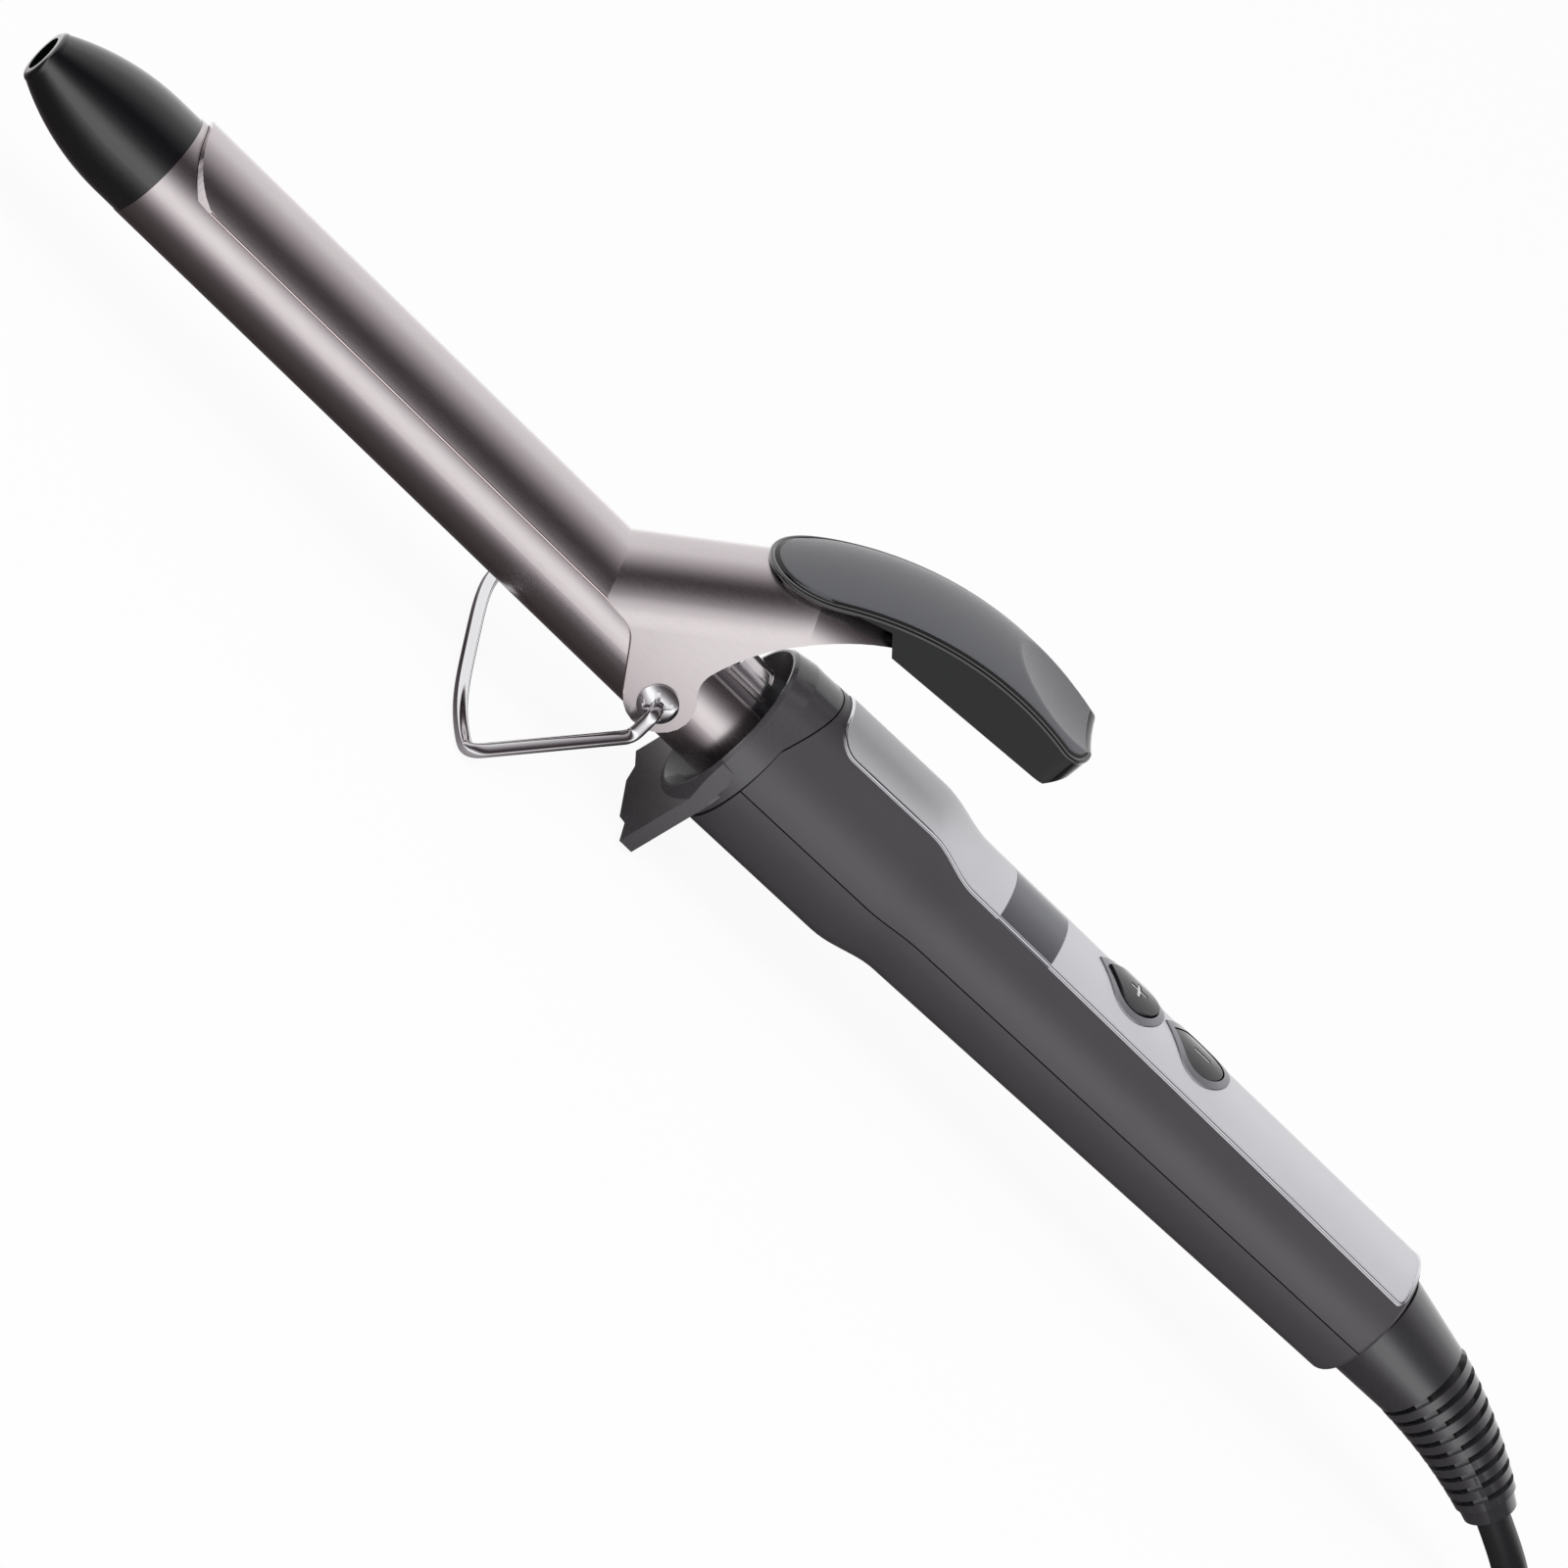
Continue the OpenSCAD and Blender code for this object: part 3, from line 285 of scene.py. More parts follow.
def coil_points():
    """The coil, seen as radius and height against the angle turned: each of five flat layers changes its
    radius evenly between the outer and inner turn, and between layers the cord lifts by its own thickness
    in a quarter turn at one radius."""
    per_layer = (COIL_TURN - (COIL_LAYERS - 1) * LIFT_TURN) / COIL_LAYERS
    knots, radii, heights = [0.0], [COIL_OUT], [CORD_D / 2]
    for layer in range(COIL_LAYERS):
        knots.append(knots[-1] + per_layer)
        radii.append(COIL_IN if layer % 2 == 0 else COIL_OUT)
        heights.append(heights[-1])
        if layer < COIL_LAYERS - 1:
            knots.append(knots[-1] + LIFT_TURN)
            radii.append(radii[-1])
            heights.append(heights[-1] + CORD_D)
    knots, heights = np.array(knots), np.array(heights)
    turned = np.arange(0, COIL_TURN, COIL_STEP)
    span = np.clip(np.searchsorted(knots, turned, "right") - 1, 0, len(knots) - 2)
    part = (turned - knots[span]) / np.diff(knots)[span]
    r = np.interp(turned, knots, radii)
    z = heights[span] + np.diff(heights)[span] * ease(part)
    angle = np.radians(COIL_FROM - turned)
    return np.stack([COIL_AT[0] + r * np.cos(angle), COIL_AT[1] + r * np.sin(angle), z], 1)


def tail_points():
    """From the inner turn of the top layer, up on the coil in a third of a turn at one radius, and
    straight into the plug: the height eases from the top layer's middle to the plug's."""
    count = 16
    start = COIL_FROM - COIL_TURN
    plan = arc(COIL_AT, COIL_IN, start, start - TAIL_TURN, count)
    lift = (PLUG_T + CORD_D) / 2 * ease(np.linspace(0, 1, count))
    rise = np.column_stack([plan, (COIL_LAYERS - 0.5) * CORD_D + lift])
    return np.vstack([rise, rise[-1:] + [TAIL_RUN, 0.0, 0.0]])


def lay_cord(rubber):
    """The cord: one round tube from the strain relief to the plug."""
    points = np.vstack([[RELIEF_TIP], LEAD_POINTS, coil_points(), tail_points()])
    path = even_curve(points, CORD_STEP) * MM
    piece = skin("mains_cord", tube_grid(path, CORD_D / 2 * MM, CORD_SIDES), rubber, "iron")
    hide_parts("cord_lead", "cord_coil", "cord_tail")


# ---------------------------------------------------------------- stand

# The wire on one side: out of the screw, down, and by a kink and a spread leg to the crossbar's corner.
STAND_HEAD = [-12.8, 9.3, 19.8]
STAND_SHOULDER = [-12.8, 13.5, 19.8]
STAND_KINK = np.array([-12.4, 13.65, 14.2])
STAND_CORNER = np.array([-33.3, 32.5, 1.15])
# How much of the corner is cut, how far the crossbar bows out, and over how much wire each bend is
# spread.
STAND_CUT = 2.4
STAND_BOW = 2.9
STAND_BEND = 3.0
WIRE_R = 1.15


def bend_stand(chrome):
    """The stand's loop: from the screw down a leg that spreads to the crossbar, along the bowed crossbar,
    and up the other side. The crossbar's bow falls off with the fourth power of the place across it, so
    that it is nearly straight in its middle, and each end bends round into its leg."""
    leg = unit(STAND_CORNER - STAND_KINK)
    half = np.array([
        STAND_HEAD, STAND_SHOULDER, STAND_KINK, STAND_CORNER - STAND_CUT * leg,
        STAND_CORNER - 0.3 * STAND_CUT * (leg + [0, 1, 0]), STAND_CORNER - [0, STAND_CUT, 0]])
    reach = STAND_CORNER[1] - STAND_CUT
    y = np.linspace(reach, -reach, 41)[1:-1]
    x = STAND_CORNER[0] - STAND_BOW * (1 - (y / reach) ** 4)
    bar = np.stack([x, y, np.full(len(y), STAND_CORNER[2])], 1)
    path = rounded_route(np.vstack([half, bar, half[::-1] * [1, -1, 1]]), STAND_BEND)[::3] * MM
    piece = skin("stand_loop", tube_grid(path, WIRE_R * MM, 20, (1.0, 0.0, 0.0)), chrome, "stand")
    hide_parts("stand_wire")


# ---------------------------------------------------------------- clamp

# The spring leaf: its width and thickness, the bend of its hairpin, and how it rises to the lever.
LEAF_W = 8.0
LEAF_T = 0.5
HAIRPIN_AT = np.array([-10.4, 34.25])
HAIRPIN_R = 2.45
LEAF_TILT = 65.0
LEAF_RISE = 18.4


def bend_spring(steel):
    """The hairpin leaf that opens the clamp: a thin strip that runs forward on its saddle, turns back in
    a part circle and rises straight to the lever."""
    bend = arc(HAIRPIN_AT, HAIRPIN_R, 270, 90 + LEAF_TILT, 24)
    tilt = math.radians(LEAF_TILT)
    rise = bend[-1] + np.linspace(0.6, LEAF_RISE, 26)[:, None] * [math.cos(tilt), math.sin(tilt)]
    root = HAIRPIN_AT + [[3.0, -HAIRPIN_R], [1.0, -HAIRPIN_R]]
    flat = np.vstack([root, bend, rise])
    path = np.stack([flat[:, 0], np.zeros(len(flat)), flat[:, 1]], 1)
    out = np.cross(headings(path), [0.0, 1.0, 0.0])
    edge = np.array([[-1, -1], [1, -1], [1, 1], [-1, 1]]) * [LEAF_W / 2, LEAF_T / 2]
    grid = path[:, None] + edge[None, :, :1] * [0.0, 1.0, 0.0] + edge[None, :, 1:] * out[:, None]
    piece = skin("spring_leaf", grid * MM, steel)
    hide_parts("clamp_spring")
    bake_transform(piece)


# The clamp's sheet: the radius in the middle of its thickness, how high the spoon's edge lies over the
# axis, how far its nose reaches, the ear and the slope of its front, and the fillet in the corner between
# them.
SHEET_R = 10.1
SPOON_EDGE = 3.9
SPOON_NOSE = 7.6
EAR_AT = np.array([-14.2, -1.5])
EAR_R = 5.7
EAR_SLOPE = 52.0
EAR_FILLET_R = 5.0
# The bright lip on its edge: its radius, how far it is raised, and the step along it.
LIP_R = 0.33
LIP_UP = 0.1
LIP_STEP = 0.7


def spoon_lip(metal):
    """The rounded bright edge of the clamp's sheet, its brightness partly from its rounding and polish and
    partly a painted highlight: a tube on each side that runs along the spoon's edge from its nose, round the
    corner and down the front of the ear. Its distance across is that of a half tube above the axis, and
    straight down below it."""
    slope = math.radians(EAR_SLOPE)
    touch = EAR_AT - EAR_R * np.array([math.sin(slope), math.cos(slope)])
    down = np.array([math.cos(slope), -math.sin(slope)])
    corner = touch - down * (SPOON_EDGE - touch[1]) / math.sin(slope)
    fillet_at = corner - EAR_FILLET_R * np.array([math.tan(slope / 2), 1.0])
    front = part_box("clamp_lever")[0][0] / MM - FOOT_AHEAD + SPOON_NOSE
    side = np.vstack([[front, SPOON_EDGE], arc(fillet_at, EAR_FILLET_R, 90, 90 - EAR_SLOPE, 12), touch])
    across = np.sqrt(SHEET_R ** 2 - np.maximum(side[:, 1], 0) ** 2)
    line = np.stack([side[:, 0], across, side[:, 1]], 1)
    path = spaced(line, int(run_along(line)[-1] / LIP_STEP))
    for name, hand in (("spoon_lip_left", 1), ("spoon_lip_right", -1)):
        middle = path * [1, hand, 1] + ON_AXIS + [0, 0, LIP_UP]
        piece = skin(name, tube_grid(middle * MM, LIP_R * MM, 10), metal, "clamp")


# The thumb rest: its ends and corners from above, its top's arcs along and across, and the sphere of its
# dish.
THUMB_FRONT, THUMB_BACK, THUMB_CORNER = -18.2, 37.8, 5.0
CROWN_AT = np.array([24.0, -16.5])
CROWN_ALONG_R = 58.8
CROWN_ACROSS_R = 25.0
DISH_AT = np.array([35.3, 90.4])
DISH_R = 51.0
# Its satin pad: how far in from the outline it is set, how deep its edge and its underside lie, how much
# its top stands over the edge, and how wide the rounding between them is.
PAD_INSET = 1.1
PAD_SUNK = 0.1
PAD_DEEP = 0.35
PAD_STEP = 0.22
PAD_ROUND = 0.4
# Its glossy rim: how far in it runs, its radius, and how deep its middle lies under the top.
RIM_INSET = 0.4
RIM_R = 0.5
RIM_SUNK = 0.32


def thumb_height(x, y):
    """The top of the thumb rest: the lesser of the crown, an arc across swept on an arc along, and the
    dish for the thumb, part of a sphere."""
    swept = CROWN_ALONG_R - CROWN_ACROSS_R + np.sqrt(CROWN_ACROSS_R ** 2 - y ** 2)
    crown = CROWN_AT[1] + np.sqrt(swept ** 2 - (x - CROWN_AT[0]) ** 2)
    dish = DISH_AT[1] - np.sqrt(np.maximum(DISH_R ** 2 - (x - DISH_AT[0]) ** 2 - y ** 2, 0))
    return np.minimum(crown, dish)


def thumb_plan(inset):
    """The outline of the thumb rest, set in: half its width, the radius of its corners behind, and where
    the middles of its round nose and of those corners lie along it."""
    low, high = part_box("thumb_rest")
    wide, corner = (high[1] - low[1]) / 2 / MM - inset, THUMB_CORNER - inset
    return wide, corner, THUMB_FRONT + inset + wide, THUMB_BACK - inset - corner


def thumb_pad(satin):
    """The satin top of the thumb rest, drawn grey as a painted sheen, a skin 0.12 mm proud of the glossy body
    and set in from its outline. Its plan has a round nose in front and round corners behind, and its edge
    eases down into the body."""
    wide, corner, nose, heel = thumb_plan(PAD_INSET)
    x = np.concatenate([
        nose - wide * np.cos(np.linspace(0.04, np.pi / 2, 22)), np.linspace(nose, heel, 90)[1:-1],
        heel + corner * np.sin(np.linspace(0, 1.5, 14))])
    half = np.where(x < nose, np.sqrt(np.maximum(wide ** 2 - (x - nose) ** 2, 0)), wide)
    half = np.where(x > heel, wide - corner + np.sqrt(np.maximum(corner ** 2 - (x - heel) ** 2, 0)), half)
    v = np.sin(np.linspace(-np.pi / 2, np.pi / 2, 47))
    x, y = np.broadcast_arrays(x[:, None], half[:, None] * v)
    edge = np.minimum(half[:, None] * (1 - np.abs(v)), heel + corner - x)
    height = thumb_height(x, y)
    upper = np.stack([x, y, height - PAD_SUNK + PAD_STEP * ease(edge / PAD_ROUND)], -1)
    lower = np.stack([x, y, height - PAD_DEEP], -1)
    grid = np.concatenate([upper, lower[:, ::-1]], 1) + ON_AXIS
    piece = skin("thumb_pad", grid * MM, satin, "clamp")


def thumb_rim(gloss):
    """The rounded glossy rim of the thumb rest: a tube that runs inside its outline, a round nose,
    straight sides and round corners behind, and stands 0.18 mm over the top."""
    wide, corner, nose, heel = thumb_plan(RIM_INSET)
    plan = np.vstack([
        arc([heel, wide - corner], corner, 0, 90, 14),
        arc([nose, 0], wide, 90, 270, 50),
        arc([heel, corner - wide], corner, -90, 0, 14)])
    x, y = spaced(plan, 300, closed=True).T
    middle = np.stack([x, y, thumb_height(x, y) - RIM_SUNK], 1)
    onward = loop_headings(middle)
    side = unit(np.cross(onward, [0.0, 0.0, 1.0]))
    grid = rings(middle, side, np.cross(side, onward), RIM_R, 14) + ON_AXIS
    piece = skin("thumb_rim", grid * MM, gloss, "clamp", closed=True)


# ---------------------------------------------------------------- handle

# The handle swells behind the collar, narrows to a waist, and then narrows evenly to its end.
SWELL_R, WAIST_R, REAR_R = 15.2, 13.2, 11.9
SWELL_END, WAIST_AT, REAR_AT = 31.0, 43.0, 140.8
# The silver strip from above: half its width, its two ends, and its corners behind and in front. Then how
# far the bead on its edge stands over the handle, and the bead's radius.
STRIP_HALF = 8.65
STRIP_FRONT, STRIP_BACK = 10.15, 140.8
STRIP_CORNER_R, STRIP_NOSE_R = 1.0, 4.0
STRIP_PROUD = 0.2
BEAD_R = 0.3
# The signs on the keys: each bar's size, how far it is sunk and crowned, and each key's place and height.
MARK_LONG, MARK_WIDE, MARK_DEEP = 3.4, 0.6, 0.12
MARK_SUNK, MARK_CROWN = 0.1, 0.06
PLUS_X, PLUS_RISE = 75.5, 0.9
MINUS_X, MINUS_RISE = 90.5, 0.35


def on_handle(points):
    """Points in the handle's own frame, which leans up behind the collar's joint, moved to the part's
    frame."""
    x, y, z = np.moveaxis(np.asarray(points, float), -1, 0)
    c, s = math.cos(HANDLE_LEAN), math.sin(HANDLE_LEAN)
    past = x - COLLAR_JOINT
    return np.stack([COLLAR_JOINT + FOOT_AHEAD + past * c - z * s, y, AXIS_HEIGHT + past * s + z * c], -1)


def handle_radius(x):
    """The handle's radius along it: the swell's, a half cosine down to the waist's, and evenly on to the
    end's."""
    dip = (1 - np.cos(np.pi * np.clip((x - SWELL_END) / (WAIST_AT - SWELL_END), 0, 1))) / 2
    taper = np.clip((x - WAIST_AT) / (REAR_AT - WAIST_AT), 0, 1)
    return SWELL_R - (SWELL_R - WAIST_R) * dip - (WAIST_R - REAR_R) * taper


def edge_strip(lacquer):
    """A thin bead on the edge of the silver strip: the strip's outline seen from above, a long shape with
    round corners, laid on the handle's radius."""
    back, back_y = STRIP_BACK - STRIP_CORNER_R, STRIP_HALF - STRIP_CORNER_R
    front, front_y = STRIP_FRONT + STRIP_NOSE_R, STRIP_HALF - STRIP_NOSE_R
    outline = np.vstack([
        arc([back, back_y], STRIP_CORNER_R, 0, 90, 12),
        arc([front, front_y], STRIP_NOSE_R, 90, 180, 12),
        arc([front, -front_y], STRIP_NOSE_R, 180, 270, 12),
        arc([back, -back_y], STRIP_CORNER_R, 270, 360, 12)])
    x, y = spaced(outline, 560, closed=True).T
    middle = np.stack([x, y, np.sqrt((handle_radius(x) + STRIP_PROUD) ** 2 - y ** 2)], 1)
    out = unit(middle * [0, 1, 1])
    grid = rings(middle, np.cross(loop_headings(middle), out), out, BEAD_R, 10)
    piece = skin("strip_bead", on_handle(grid) * MM, lacquer, "iron", closed=True)


def print_mark(name, x, rise, turned, ink, body):
    """One bar of a key's sign: a low crowned bar in the key's recess that follows the key's own crown. A
    turned bar lies across the handle."""
    u = np.linspace(-MARK_LONG / 2, MARK_LONG / 2, 18)[:, None]
    v = np.linspace(-MARK_WIDE / 2, MARK_WIDE / 2, 7)[None, :]
    along, across = np.broadcast_arrays(*((v, u) if turned else (u, v)))
    crown = MARK_CROWN * (v / (MARK_WIDE / 2)) ** 2
    top = np.sqrt((handle_radius(x + along) + rise) ** 2 - across ** 2) - MARK_SUNK - crown
    upper = np.stack([x + along, across, top], -1)
    lower = upper - [0, 0, MARK_DEEP]
    bar = np.concatenate([upper, lower[:, ::-1]], 1)
    piece = skin(name, on_handle(bar[:, ::-1] if turned else bar) * MM, ink, body)


# ---------------------------------------------------------------- table, room, lamps and camera, in metres

# How bright the whitest reflections are against plain white.
STUDIO_LEVEL = 1.3
# Half the table's side, how far it lies below the part's own foot, and how much of its white is its own: the
# rest takes the light and the shadow.
TABLE_HALF = 6.0
TABLE_BELOW = 0.0002
TABLE_GLOW = 0.93
# How strong the even light on matt surfaces is.
SOFT_LIGHT = 0.72
# The table in reflections, by the share of this reach to both sides of the iron: a painted shade, dark close
# under the iron where it shades the table, and white further off.
TABLE_REACH = 0.2
TABLE_PAINTED_SHADES = (
    (0.0, "#342F30"), (0.09, "#4E494A"), (0.14, "#757072"), (0.225, "#BDB9BB"), (0.4, "#FBFBFB"),
    (1.0, "#FFFFFF"))
# The room in reflections, by the share of the half turn from the table in front, over the top, to the
# table behind: bright low in front, a dark ceiling over that, and a bright wall behind.
ROOM_SHADES = (
    (0.0, "#FFFFFF"), (0.05, "#E6E5E6"), (0.125, "#9C999B"), (0.195, "#5E595B"), (0.27, "#3C3638"),
    (0.345, "#352F31"), (0.43, "#6A6567"), (0.51, "#9A9698"), (0.61, "#BCBABB"), (0.715, "#E1E0E1"),
    (1.0, "#E6E5E6"))
# The lamps face this point of the iron.
LAMPS_FACE = [0.05, 0.0, 0.02]
# The sight line turns this far from the cross direction and falls this far, and the view is rolled, all in
# degrees. The camera looks at a point on the barrel from this far off, with this focal length in millimetres
# on a sensor 36 mm wide.
SIGHT_TURN, SIGHT_FALL, SIGHT_ROLL = 17.0, 22.4, 44.1
SIGHT_AT = (ON_AXIS + [12.3, 0.0, -1.55]) * MM
SIGHT_FROM = 1.5
FOCAL_LENGTH = 223.425


def seen_share(tree, rays):
    """1 for rays that come straight from the eye or through glass, and 0 for the others."""
    seen = {0: rays["Is Camera Ray"], 1: rays["Is Transmission Ray"]}
    return add(tree, "Math", seen, operation="ADD", use_clamp=True).outputs[0]


def reflected_shade(tree, value, whole, shades):
    """What reflections show where a value lies between 0 and the whole: its share picks from the shades,
    evenly between each two."""
    share = add(tree, "MapRange", {"Value": value, "From Min": 0.0, "From Max": whole}).outputs[0]
    node = add(tree, "ValToRGB", {"Fac": share})
    stops = node.color_ramp.elements
    stops[0].position, stops[0].color = shades[0][0], linear(shades[0][1])
    stops[1].position, stops[1].color = shades[-1][0], linear(shades[-1][1])
    for place, colour in shades[1:-1]:
        stops.new(place).color = linear(colour)
    return node.outputs["Color"]


def lay_table():
    """A pale table: nearly white to the eye, with a soft shadow, and in reflections a painted shade, dark
    close under the iron and white further off."""
    finish, tree, out = new_finish("pale table")
    rays = add(tree, "LightPath").outputs
    share = add(tree, "Math", {0: seen_share(tree, rays), 1: TABLE_GLOW}, operation="MULTIPLY")
    matt = add(tree, "BsdfDiffuse", {"Color": linear("#F2F2F2")})
    white = add(tree, "Emission", {"Color": linear("#FFFFFF"), "Strength": 1.0})
    plain = add(tree, "MixShader", {"Fac": share.outputs[0], 1: matt.outputs[0], 2: white.outputs[0]})
    place = add(tree, "SeparateXYZ", {0: add(tree, "TexCoord").outputs["Object"]})
    beside = add(tree, "Math", {0: place.outputs["Y"]}, operation="ABSOLUTE")
    # In reflections the table glows with a painted shade of the iron's shadow.
    shade = reflected_shade(tree, beside.outputs[0], TABLE_REACH, TABLE_PAINTED_SHADES)
    mirrored = add(tree, "Emission", {"Color": shade, "Strength": STUDIO_LEVEL})
    both = add(tree, "MixShader", {"Fac": rays["Is Glossy Ray"], 1: plain.outputs[0], 2: mirrored.outputs[0]})
    tree.links.new(both.outputs[0], out.inputs["Surface"])
    mesh = bpy.data.meshes.new("table")
    corners = [(x * TABLE_HALF, y * TABLE_HALF, 0) for x, y in ((-1, -1), (1, -1), (1, 1), (-1, 1))]
    mesh.from_pydata(corners, [], [(0, 1, 2, 3)])
    mesh.materials.append(finish)
    table = bpy.data.objects.new("table", mesh)
    table.location.z = -TABLE_BELOW
    bpy.context.scene.collection.objects.link(table)


def light_room():
    """The room: white to the eye, an even soft light on matt surfaces, and in reflections a studio's
    shades."""
    world = bpy.data.worlds.new("studio")
    world.use_nodes = True
    bpy.context.scene.world = world
    tree = world.node_tree
    tree.nodes.clear()
    rays = add(tree, "LightPath").outputs
    ray = add(tree, "SeparateXYZ", {0: add(tree, "TexCoord").outputs["Generated"]})
    front = add(tree, "Math", {0: ray.outputs["Y"], 1: -1.0}, operation="MULTIPLY")
    rise = add(tree, "Math", {0: ray.outputs["Z"], 1: front.outputs[0]}, operation="ARCTAN2")
    studio = reflected_shade(tree, rise.outputs[0], math.pi, ROOM_SHADES)
    soft = add(tree, "Background", {"Color": linear("#E6E6E6"), "Strength": SOFT_LIGHT})
    shown = add(tree, "Background", {"Color": studio, "Strength": STUDIO_LEVEL})
    white = add(tree, "Background", {"Color": linear("#FFFFFF"), "Strength": 1.0})
    lit = add(tree, "MixShader", {"Fac": rays["Is Glossy Ray"], 1: soft.outputs[0], 2: shown.outputs[0]})
    mix = add(tree, "MixShader", {"Fac": seen_share(tree, rays), 1: lit.outputs[0], 2: white.outputs[0]})
    tree.links.new(mix.outputs[0], tree.nodes.new("ShaderNodeOutputWorld").inputs["Surface"])


def set_up(name, data, right, up, back, place):
    """Puts a camera or a lamp in the scene at its place, turned by its own three directions."""
    turn = np.eye(4)
    turn[:3] = np.stack([right, up, back, place], 1)
    holder = bpy.data.objects.new(name, data)
    holder.matrix_world = Matrix(turn.tolist())
    bpy.context.scene.collection.objects.link(holder)
    return holder


def hang_lamp(name, place, size, watts):
    """A rectangular soft box that faces the iron. Reflections leave it out and show the room's shades."""
    lamp = bpy.data.lights.new(name, "AREA")
    lamp.shape = "RECTANGLE"
    lamp.size, lamp.size_y = size
    lamp.energy = watts
    away = unit(np.array(place) - LAMPS_FACE)
    side = unit(np.cross([0.0, 1.0, 0.0] if abs(away[1]) < 0.9 else [0.0, 0.0, 1.0], away))
    holder = set_up(name, lamp, side, np.cross(away, side), away, place)
    holder.visible_glossy = False


def aim_camera():
    """Looks at the iron from its side, a little from the front and from above. The level and upward
    directions are turned about the sight line by the roll, which lays the iron on the view's
    diagonal."""
    yaw, fall, roll = (math.radians(a) for a in (SIGHT_TURN, SIGHT_FALL, SIGHT_ROLL))
    sight = np.array([math.sin(yaw), math.cos(yaw) * math.cos(fall), -math.cos(yaw) * math.sin(fall)])
    level = unit(np.array([1.0, 0.0, 0.0]) - sight * sight[0])
    above = np.cross(level, sight)
    right = level * math.cos(roll) + above * math.sin(roll)
    up = above * math.cos(roll) - level * math.sin(roll)
    lens = bpy.data.cameras.new("camera")
    lens.lens = FOCAL_LENGTH
    lens.clip_start, lens.clip_end = 0.05, 20
    camera = set_up("camera", lens, right, up, -sight, SIGHT_AT - SIGHT_FROM * sight)
    bpy.context.scene.camera = camera


# ---------------------------------------------------------------- the finishes

# Titanium coating on drawn steel: a soft, slightly rosy silver with fine marks along the tube.
titanium = worked_metal("satin titanium coating", ("#CFC8C9", "#CAC3C4"), 0.26, 0.02, 0.5, 6.0, 0.0002)
# The same coating, polished on the sheet's edge: a thin bright rosy line, drawn lighter than the barrel's
# coating as a painted highlight.
clamp_edge_highlight = worked_metal("polished clamp edge with painted highlight", ("#E8DADA", "#E2D3D3"), 0.16, 0.03, 0.3, 4.0, 0.0002)
# Heat-proof plastic, moulded and polished: near black and glossy.
tip_black = moulded("gloss heat-proof plastic", ("#0E1012", "#0B0D0F"), 0.09, 0.02, 0.5, 0.0002, coat=1.0)
# ABS in three finishes: a polished black body, a satin top drawn grey as a painted sheen, and a polished rim
# between them that draws a thin highlight.
thumb_black = moulded("gloss thumb rest plastic", ("#101112", "#0D0E0F"), 0.12, 0.02, 0.4, 0.0003, ior=1.35)
thumb_pad_painted_sheen = moulded("satin thumb pad plastic with painted sheen", ("#5A5B5F", "#56575B"), 0.36, 0.04, 0.4, 0.001)
rim_black = moulded("polished thumb rest lip", ("#101112", "#0D0E0F"), 0.10, 0.02, 0.4, 0.0003, coat=1.0)
# The collar and the handle, moulded in satin plastic: a dark warm grey with a broad soft sheen.
guard_grey = moulded("satin collar plastic", ("#4A484B", "#464447"), 0.30, 0.04, 0.4, 0.002, coat=0.3)
handle_grey = moulded("satin handle plastic", ("#4A474B", "#464347"), 0.36, 0.04, 0.4, 0.002)
# Metallic lacquer on plastic: an even silver with a fine flake, and a brighter line where its edge is
# rounded, partly from that rounding and partly a painted highlight in a lighter, fully metallic copy of the
# lacquer.
silver = worked_metal("silver lacquer", ("#D6D6DA", "#D1D1D5"), 0.42, 0.04, 0.15, 1.0, 0.0006, metallic=0.35)
strip_edge_highlight = worked_metal("strip edge with painted highlight", ("#E2E2E6", "#DADADE"), 0.15, 0.03, 0.2, 1.0, 0.001)
# A smoked and mirrored acrylic window, which shows as a dim grey mirror, and the display's film behind
# it.
window_grey = worked_metal(
    "smoked mirror window", ("#77787D", "#727378"), 0.20, 0.02, 0.8, 1.0, 0.0002, metallic=0.7)
display_grey = moulded("display film", ("#3A3D3F", "#36393B"), 0.25, 0.04, 0.4, 0.001)
# Plated bezels with a soft shine, round polished black keys with their signs printed in white.
bezel_grey = worked_metal("plated bezel", ("#8E8F93", "#88898D"), 0.22, 0.03, 0.4, 1.0, 0.0004)
button_grey = moulded("gloss button plastic", ("#1E1F22", "#1B1C1F"), 0.14, 0.02, 0.5, 0.0003, coat=0.1)
sign_white = moulded("printed sign", ("#D9DADC", "#D2D3D5"), 0.35, 0.05, 0.3, 0.001)
# Rubber: a shiny strain relief, an extruded cord with a dull sheen, and a duller moulded plug.
relief_grey = moulded("soft strain relief rubber", ("#39383B", "#343336"), 0.16, 0.03, 0.5, 0.001, coat=1.0)
cord_black = moulded("extruded cord rubber", ("#28282A", "#242426"), 0.38, 0.05, 0.6, 0.004)
plug_black = moulded("moulded plug rubber", ("#1F1F21", "#1B1B1D"), 0.40, 0.06, 0.5, 0.01)
# Bright metals: a mirror on the wire and its screws, a drawn sheen on the spring, and warm nickel on the
# pins.
chrome = worked_metal("bright chrome plate", ("#E4E4E6", "#DEDEE0"), 0.06, 0.02, 0.6, 3.0, 0.0002)
spring_steel = worked_metal("bright spring steel", ("#CFCFD1", "#C6C6C9"), 0.14, 0.04, 0.3, 6.0, 0.001)
nickel = worked_metal("nickel plated brass", ("#D6D2C8", "#CDC8BC"), 0.14, 0.04, 0.4, 4.0, 0.001)
# Metals inside: dull zinc on the small hardware, coarse cast aluminium and warm turned brass.
zinc = worked_metal("zinc plated steel", ("#A9AAAB", "#9B9C9F"), 0.34, 0.07, 0.5, 1.0, 0.002)
aluminium = worked_metal("cast aluminium", ("#C2C3C5", "#B4B5B8"), 0.5, 0.08, 0.6, 1.0, 0.01)
brass = worked_metal("turned brass", ("#C9A45C", "#B99450"), 0.28, 0.06, 0.2, 1.0, 0.002)
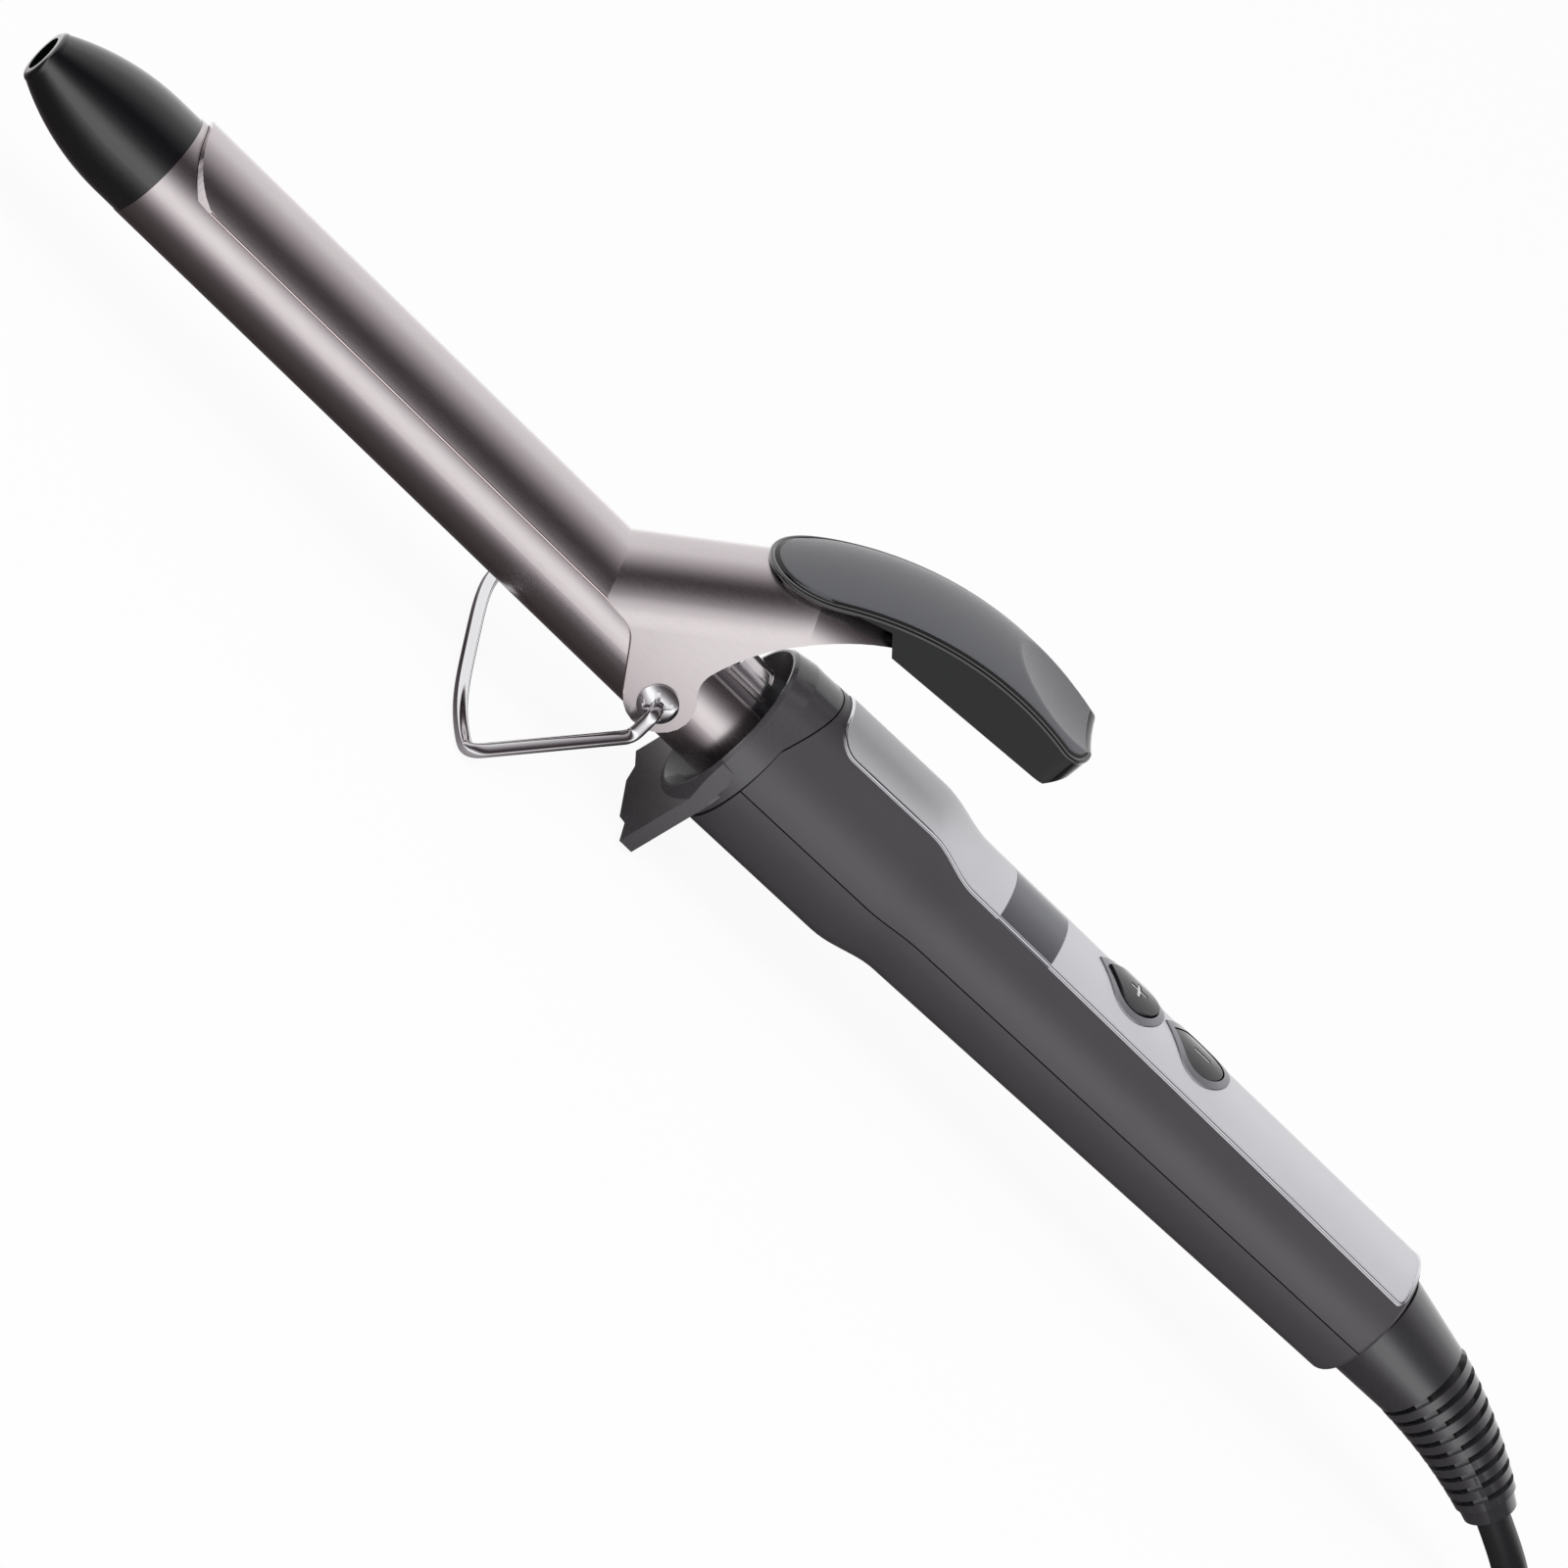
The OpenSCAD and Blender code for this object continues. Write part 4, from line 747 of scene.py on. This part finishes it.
# Insulators inside: a chalky fired ceramic, a rough woven sleeve and a tan bush.
ceramic = moulded("fired alumina", ("#E6E1D6", "#DCD6CA"), 0.6, 0.08, 0.3, 0.006)
sleeve = moulded("glass fibre sleeve", ("#E4E0D6", "#D6D1C4"), 0.75, 0.08, 0.25, 0.03)
bush_beige = moulded("phenolic bush", ("#CDB793", "#C2AB86"), 0.55, 0.08, 0.4, 0.008)
# The electronics: a green board, matt black switches and brown wires.
laminate = moulded("circuit board laminate", ("#1F6B3C", "#1B5F36"), 0.42, 0.06, 0.3, 0.004)
switch_black = moulded("switch plastic", ("#242425", "#1F1F20"), 0.45, 0.06, 0.4, 0.006)
wire_brown = moulded("wire insulation", ("#6E3A22", "#63331D"), 0.4, 0.06, 0.5, 0.006)


# ---------------------------------------------------------------- the scene

aim_camera()

lay_cord(cord_black)
bend_stand(chrome)
bend_spring(spring_steel)
spoon_lip(clamp_edge_highlight)
thumb_pad(thumb_pad_painted_sheen)
thumb_rim(rim_black)
edge_strip(strip_edge_highlight)
print_mark("plus_bar", PLUS_X, PLUS_RISE, False, sign_white, "plus_key")
print_mark("plus_cross", PLUS_X, PLUS_RISE, True, sign_white, "plus_key")
print_mark("minus_bar", MINUS_X, MINUS_RISE, False, sign_white, "minus_key")

dress(titanium, "barrel_tube", "clamp_lever")
dress(tip_black, "tip_cap")
dress(thumb_black, "thumb_rest")
dress(guard_grey, "collar_guard")
dress(handle_grey, "handle_upper", "handle_lower")
dress(silver, "control_strip")
dress(window_grey, "window_glass")
dress(display_grey, "display_module")
dress(bezel_grey, "plus_bezel", "minus_bezel")
dress(button_grey, "plus_button", "minus_button")
dress(relief_grey, "strain_relief")
dress(cord_black, "cord_lead", "cord_coil", "cord_tail", "cord_tie")
dress(plug_black, "plug_body")
dress(chrome, "pivot_screws", "stand_wire")
dress(spring_steel, "spring_saddle", "clamp_spring")
dress(zinc, "pivot_block", "thumb_screw", "case_screws")
dress(nickel, "plug_pins")
dress(aluminium, "heater_block")
dress(brass, "temperature_probe")
dress(ceramic, "heater_plate")
dress(sleeve, "heater_leads")
dress(bush_beige, "barrel_bush")
dress(laminate, "circuit_board")
dress(switch_black, "button_switches")
dress(wire_brown, "mains_wires")

lay_table()
light_room()
hang_lamp("overhead soft box", (0.0, -0.5, 1.35), (1.2, 0.6), 8.0)
hang_lamp("front soft box", (0.1, -1.6, 0.22), (1.4, 0.4), 6.5)

bpy.context.scene.view_settings.view_transform = "Standard"
